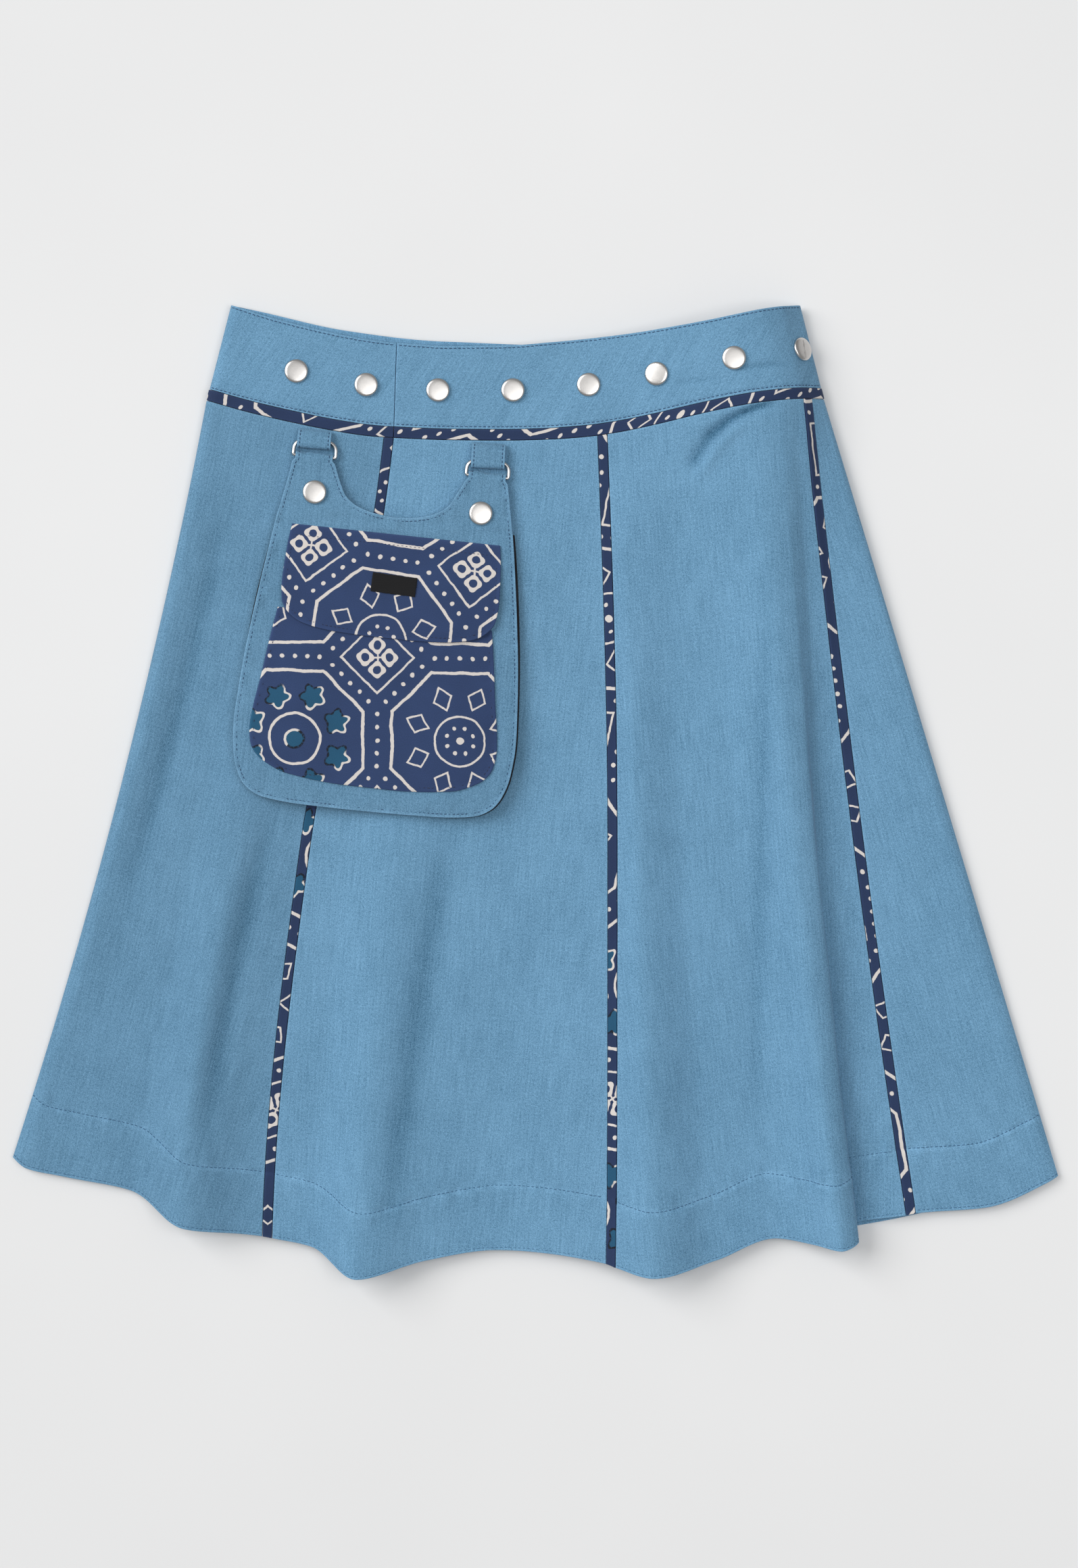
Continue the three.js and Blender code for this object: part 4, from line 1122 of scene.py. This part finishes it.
# How a loop's cloth is placed, by x across it and a along it: up from its seam, round its ring and back
def loop_place(x_at, length, spin):
    foot = 3 - length
    mid = (LIE_GAP + 4.7 + LOOP_LAYER) / 2
    rise = mid - LIE_GAP - LOOP_LAYER
    reach = 3 - LOOP_LAYER
    turns = np.radians(np.linspace(0, 180, 13))
    bend = np.stack([foot - reach * np.sin(turns), mid + rise * np.cos(turns)], 1)
    path = np.array([(-0.4, 1.3), (-1.8, 2.9), (-4, 4.3), (-6, 4.6), *bend, (-3.4, LIE_GAP + LOOP_LAYER)])
    along = lengths_along(path)
    out = np.stack(spun(*unit(np.gradient(path, along, axis=0)).T, -90), 1)
    base = (x_at, float(on_curve(WAIST_SEAM, x_at)) - LOOP_START)

    def place(x, a, h):
        at, outward = (columns_at(a, along, table) for table in (path, out))
        y, z = np.moveaxis(at + outward * h[..., None], -1, 0)
        x, y = (spot + by for spot, by in zip(spun(x, y, spin), base))
        return np.stack([x, y, POUCH["z"] + z], -1)

    return place, along[-1]


LOOP_PLACES = {}
for side, x_at, length, spin in LOOPS:
    place, total = loop_place(x_at, length, spin)
    LOOP_PLACES[side] = (place, length)
    half = LOOP_WIDTH / 2
    between = np.linspace(2 - half, half - 2, round((2 * half - 4) / 0.9))
    x, a = np.meshgrid(np.concatenate([EDGE_STEPS - half, between, half - EDGE_STEPS[::-1]]),
                       np.linspace(0, total, 60))
    distance = half - np.abs(x)
    height = LOOP_LAYER - edge_drop(distance) * 0.6 - 0.25 * near(distance - 1.6, 0.6)
    height = height + 0.12 * noise(x / 4, a / 5, 61) * smooth(a, 1, 5)
    outer = place(x, a, height)
    points, faces = wall(outer, place(x, a, 0 * x))
    made = piece(f"ring_loop_{side}", points, faces.tolist(), POUCH_DENIM, f"loop_{side}",
                 np.stack([x, -a], -1), worn_at(distance, 0.8, 0.7))
    SHEETS[f"loop_{side}"] = made, LOOP_WIDTH, float(total), float(grid_area(outer))


# A tube of round wire along a closed path
def closed_tube(path, radius, sides):
    run = unit(np.roll(path, -1, 0) - np.roll(path, 1, 0))
    out = np.stack([*spun(run[:, 0], run[:, 1], -90), 0 * run[:, 0]], 1)[:, None]
    a = np.linspace(0, 2 * np.pi, sides, endpoint=False)[None, :, None]
    points = path[:, None] + radius * (np.cos(a) * out + np.sin(a) * np.array([0, 0, 1]))
    ids = np.arange(len(path) * sides).reshape(len(path), sides)
    ahead = np.roll(ids, -1, 0)
    faces = np.stack([ids, ahead, np.roll(ahead, -1, 1), np.roll(ids, -1, 1)], -1).reshape(-1, 4)
    return points.reshape(-1, 3), faces.tolist()


# Half a ring's width, its straight legs' height, its arch's height and how round its corners are
RING = {"half": 13.3, "leg": 3, "arch": 10.5, "corner": 1.2, "squareness": 0.75}


def ring_path():
    def squarer(v):
        return np.sign(v) * np.abs(v) ** RING["squareness"]

    half, leg, corner = RING["half"], RING["leg"], RING["corner"]
    turns = np.linspace(0, np.pi, 49)
    arch = np.stack([half * squarer(np.cos(turns)), leg + (RING["arch"] - leg) * squarer(np.sin(turns))], 1)
    bends = [(c + corner * math.cos(a), corner + corner * math.sin(a))
             for c, low in ((corner - half, 180), (half - corner, 270))
             for a in np.radians(np.linspace(low, low + 90, 7))]
    return np.array([(x, y, 0) for x, y in [*arch, *bends]])


for sign, side in ((-1, "left"), (1, "right")):
    points, faces = closed_tube(ring_path(), WIRE, 20)
    points = from_pouch(points + (sign * STRAP_X, -sign * RING_SKEW, WIRE_HEIGHT))
    piece(f"wire_ring_{side}", points, faces, WIRE_METAL, f"ring_{side}")

# Press stud cap: a low dome with a rounded rim, as radius and height shares
CAP = [
    (0, 1), (0.35, 0.985), (0.62, 0.955), (0.8, 0.9), (0.9, 0.8), (0.96, 0.66), (0.99, 0.48), (1, 0.3),
    (0.985, 0.12), (0.95, 0), (0, 0),
]


def stud_cap(name, node, centre, normal):
    sides = 64
    t = lengths_along(CAP)
    fine = np.unique(np.concatenate([np.linspace(0, t[-2], 40), t[-2:]]))
    radius, height = (curve_at(t, column, fine) for column in np.transpose(CAP))
    a = np.linspace(0, 2 * np.pi, sides, endpoint=False)
    ring = np.stack([np.cos(a), np.sin(a), 0 * a], 1) * STUD_RADIUS
    middle = [ring * r + (0, 0, h * STUD_HEIGHT) for r, h in zip(radius[1:-1], height[1:-1])]
    points = np.concatenate([[(0, 0, height[0] * STUD_HEIGHT)], *middle, [(0, 0, 0)]])
    ids = 1 + np.arange(len(middle) * sides).reshape(-1, sides)
    ahead = np.roll(ids, -1, 1)
    quads = np.stack([ids[:-1], ids[1:], ahead[1:], ahead[:-1]], -1).reshape(-1, 4).tolist()
    fans = [(0, int(p), int(q)) for p, q in zip(ids[0], ahead[0])]
    fans += [(len(points) - 1, int(q), int(p)) for p, q in zip(ids[-1], ahead[-1])]
    normal = unit(normal)
    across = unit(np.cross((0, 1, 0), normal))
    axes = np.stack([across, np.cross(normal, across), normal])
    piece(name, points @ axes + centre, quads + fans, NICKEL, node)


STUD_LINE = Lines([-STUD_UP_BAND])


def front_at(x):
    low, high = float(FIRST_FRONT), float(LAST_FRONT)
    for _ in range(40):
        middle = (low + high) / 2
        if STUD_LINE.at(np.array([[middle]]))[0, 0, 0] < x:
            low = middle
        else:
            high = middle
    return low


# The place a length further along the row from u. Where the cloth ends before that, it is one hop from u,
# which puts the twelfth cap on the eighth.
def further_along(u, length):
    hop = 0.01
    steps = STUD_LINE.at(np.arange(u, len(RAILS) - 1, hop)[None, :])[0]
    reached = lengths_along(steps)[1:] >= length
    return u + hop * (1 + int(np.argmax(reached)))


stud_places = [front_at(x) for x in STUD_X]
stud_places += [further_along(stud_places[-1], STUD_PITCH * k) for k in range(1, STUDS_BEHIND + 1)]
for k, u in enumerate(stud_places, 1):
    _, point, normal = surface([-STUD_UP_BAND], np.array([[u]]))
    stud_cap(f"stud_cap_{k}", f"stud_{k}", point[0, 0] + SEAM_GAP * normal[0, 0], normal[0, 0])
for side, (x, down) in STRAP_STUDS.items():
    centre = from_pouch([(x, -down, ON_FACE)])[0]
    stud_cap(f"strap_stud_{side}", f"pouch_stud_{side}", centre, POUCH_AXES[:, 2])


# Rows of stitches as short thread capsules along paths on the cloth. A profile's rows are a place along the
# stitch, and its radius and height there as shares of the thread's radius.
STITCH_GAP = 0.75
STITCH_SIDES = 6
PROFILE = [
    (-0.5, 0.15, -0.9), (-0.42, 0.75, -0.1), (-0.15, 1, 0.35), (0.15, 1, 0.35), (0.42, 0.75, -0.1),
    (0.5, 0.15, -0.9),
]


def stitches(paths, long, radius, seed):
    chance = np.random.default_rng(seed)
    a = np.linspace(0, 2 * np.pi, STITCH_SIDES, endpoint=False)
    ids = np.arange(len(PROFILE) * STITCH_SIDES).reshape(-1, STITCH_SIDES)
    ahead = np.roll(ids, -1, 1)
    sides = np.stack([ids[:-1], ahead[:-1], ahead[1:], ids[1:]], -1).reshape(-1, 4).tolist()
    shape = [*sides, ids[0][::-1].tolist(), ids[-1].tolist()]
    points, faces = [], []
    for path, normals in paths:
        t = lengths_along(path)
        for start in np.arange(0.3, t[-1] - long, long + STITCH_GAP):
            size = long * chance.uniform(0.9, 1.08)
            middle = start + long / 2 + chance.uniform(-0.08, 0.08)
            skew = chance.uniform(-0.12, 0.12)
            tail, centre, head = columns_at(middle + np.array([-0.5, 0, 0.5]) * size, t, path)
            run = unit(head - tail)
            up = columns_at(middle, t, normals)
            up = unit(up - run * (up @ run))
            side = np.cross(up, run)
            base = len(points) * ids.size
            round_it = np.cos(a)[:, None] * side + np.sin(a)[:, None] * up
            hearts = [centre + run * along * size + up * high * radius + side * skew * along * 2
                      for along, _, high in PROFILE]
            points.append([heart + radius * wide * round_it for heart, (_, wide, _) in zip(hearts, PROFILE)])
            faces += [[base + k for k in face] for face in shape]
    return np.reshape(points, (-1, 3)), faces


def thread(name, paths, material, seed, long=2.1, radius=0.25):
    points, faces = stitches(paths, long, radius, seed)
    piece(name, points, faces, material, sharp=False)


# A path on the dressed cloth, through places given by u and v
def on_cloth(u, v, lift=0.0, on_band=False):
    _, point, normal = surface(v, u[:, None])
    point, normal = point[:, 0], normal[:, 0]
    height = relief(point[:, 0], point[:, 1], u, v, on_band) + lift
    return point + normal * height[:, None], normal


hem_paths, edge_paths, band_paths = [], [], []
for _, start, end, *_ in GORES[2:6]:
    u = np.linspace(RAIL[start] + 0.02, RAIL[end] - 0.02, 260)
    u = u[(u > FIRST_FRONT + 0.05) & (u < LAST_FRONT - 0.05)]
    length = by_rail(RAIL_LENGTH, u)
    hem_paths.append(on_cloth(u, 1 - HEM_DEPTH / length, 0.12))
    edge_paths.append(on_cloth(u, 1 - 2 / length, 0.1))
band_seam = RAIL["seam_3_end"]
for low, high in ((FIRST_FRONT + 0.3, band_seam - 0.08), (band_seam + 0.08, LAST_FRONT - 0.3)):
    u = np.linspace(low, high, 400)
    length = by_rail(BAND_LENGTH, u)
    for v in (-1 + BAND_STITCH / length, -(TRIM_WIDTH + TRIM_STITCH) / length):
        band_paths.append(on_cloth(u, v, 0.12, True))
thread("hem_stitching", hem_paths, HEM_THREAD, 11)
thread("hem_edge_stitching", edge_paths, HEM_THREAD, 12, radius=0.17)
thread("waistband_stitching", band_paths, THREAD, 13)


# Points of a thread and outward directions, from points just above and further above the cloth
def thread_path(low, high):
    return high, unit(high - low)


# Stitches on cut cloth, along a path of its flat outline
def cut_path(points, place, bumps, outline, thick, lift=0.1):
    t = lengths_along(points)
    x, y = columns_at(np.linspace(0, t[-1], max(2, round(t[-1] / 0.7))), t, points).T
    height = thick + bumps(x, y, outline_distance(x, y, outline)) + lift
    return thread_path(*(from_pouch(place(x, y, height - sunk)) for sunk in (0.5, 0)))


# The stitch line inside an outline, below a height, opened at its largest gap
def open_line(outline, inset_by, below):
    line = inset(outline, inset_by)
    line = line[line[:, 1] < below]
    return np.roll(line, -1 - int(np.argmax(np.diff(lengths_along(line)))), 0)


outline = face_outline()
line = inset(outline, FACE_STITCH)
line = line[line[:, 1] < 4]
gaps = np.diff(lengths_along(line)) > 6
runs = [run for run in np.split(line, np.nonzero(gaps)[0] + 1) if len(run) > 3]
face_paths = [cut_path(run, place_face, face_bumps, outline, FACE["thick"]) for run in runs]
thread("pouch_stitching", face_paths, THREAD, 14, long=1.9)

outline = shell_outline(POCKET_SHELL)
line = open_line(outline, POCKET_STITCH, -POCKET[0][0] - 4)
pocket_paths = [cut_path(line, place_shell(POCKET_SHELL), pocket_bumps, outline, CLOTH)]
thread("pocket_stitching", pocket_paths, DARK_THREAD, 15, long=1.9)

outline = shell_outline(FLAP_SHELL)
line = open_line(outline, FLAP_STITCH, -FLAP[0][0] - FLAP_SIDE)
across = FLAP_SHELL["shift"] + np.linspace(-63, 63, 180)
top_line = np.stack([across, np.full_like(across, -FLAP[0][0] - FLAP_TOP_STITCH)], 1)
flap_paths = [cut_path(path, place_shell(FLAP_SHELL), flap_bumps, outline, CLOTH)
              for path in (line, top_line)]
thread("flap_stitching", flap_paths, DARK_THREAD, 16, long=1.9)

loop_paths = []
for place, length in LOOP_PLACES.values():
    a = np.linspace(1.2, length + 2.5, 60)
    for x in (1.6 - LOOP_WIDTH / 2, LOOP_WIDTH / 2 - 1.6):
        low, high = (place(x + 0 * a, a, LOOP_LAYER - sunk + 0 * a) for sunk in (0.6, 0.12))
        loop_paths.append(thread_path(low, high))
thread("loop_stitching", loop_paths, THREAD, 17, long=1.8)

# Each sheet's area of what shows, held to at most its width times its length, in square
# metres. The narrowest are stated 10 mm wide.
for node, (made, wide, long, area) in SHEETS.items():
    area = min(area, wide * long) * MM * MM

# Floor, light and camera
FLOOR_HALF = 4.0
FLOOR_BELOW = 0.0003
floor_mesh = bpy.data.meshes.new("floor")
corners = [(x * FLOOR_HALF, y * FLOOR_HALF, -FLOOR_BELOW) for x, y in ((-1, -1), (1, -1), (1, 1), (-1, 1))]
floor_mesh.from_pydata(corners, [], [(0, 1, 2, 3)])
floor = link(bpy.data.objects.new("floor", floor_mesh))
ground = Look("pale_floor", 0.7, Specular_IOR_Level=0.2)
gx, gy, _ = ground.place()
mottle = ground.noise(gx, gy, (300, 300), 3)
ground.set("Base Color", ground.mix(mottle + 0.5, srgb(239, 239, 239), srgb(247, 247, 247)))
floor_mesh.materials.append(ground.material)

world = bpy.data.worlds.new("studio")
bpy.context.scene.world = world
world.use_nodes = True
background = world.node_tree.nodes["Background"]
background.inputs["Color"].default_value = (0.985, 0.995, 1, 1)
background.inputs["Strength"].default_value = 0.26


def area_light(name, at, aim, size, power):
    data = bpy.data.lights.new(name, "AREA")
    data.shape = "RECTANGLE"
    data.size, data.size_y = size
    data.energy = power
    light = link(bpy.data.objects.new(name, data))
    light.location = at
    light.rotation_euler = (Vector(aim) - Vector(at)).to_track_quat("-Z", "Y").to_euler()


area_light("key", (-5, 2.4, 5), (0, 0, 0), (5, 5), 364)
area_light("overhead", (0.6, -0.05, 2.5), (0.6, -0.05, 0), (1.8, 1.3), 21.4)

camera_data = bpy.data.cameras.new("camera")
camera_data.lens = LENS
camera_data.sensor_width = SENSOR
camera = link(bpy.data.objects.new("camera", camera_data))
camera.location = CAMERA_AT
bpy.context.scene.camera = camera
bpy.context.scene.view_settings.view_transform = "Standard"
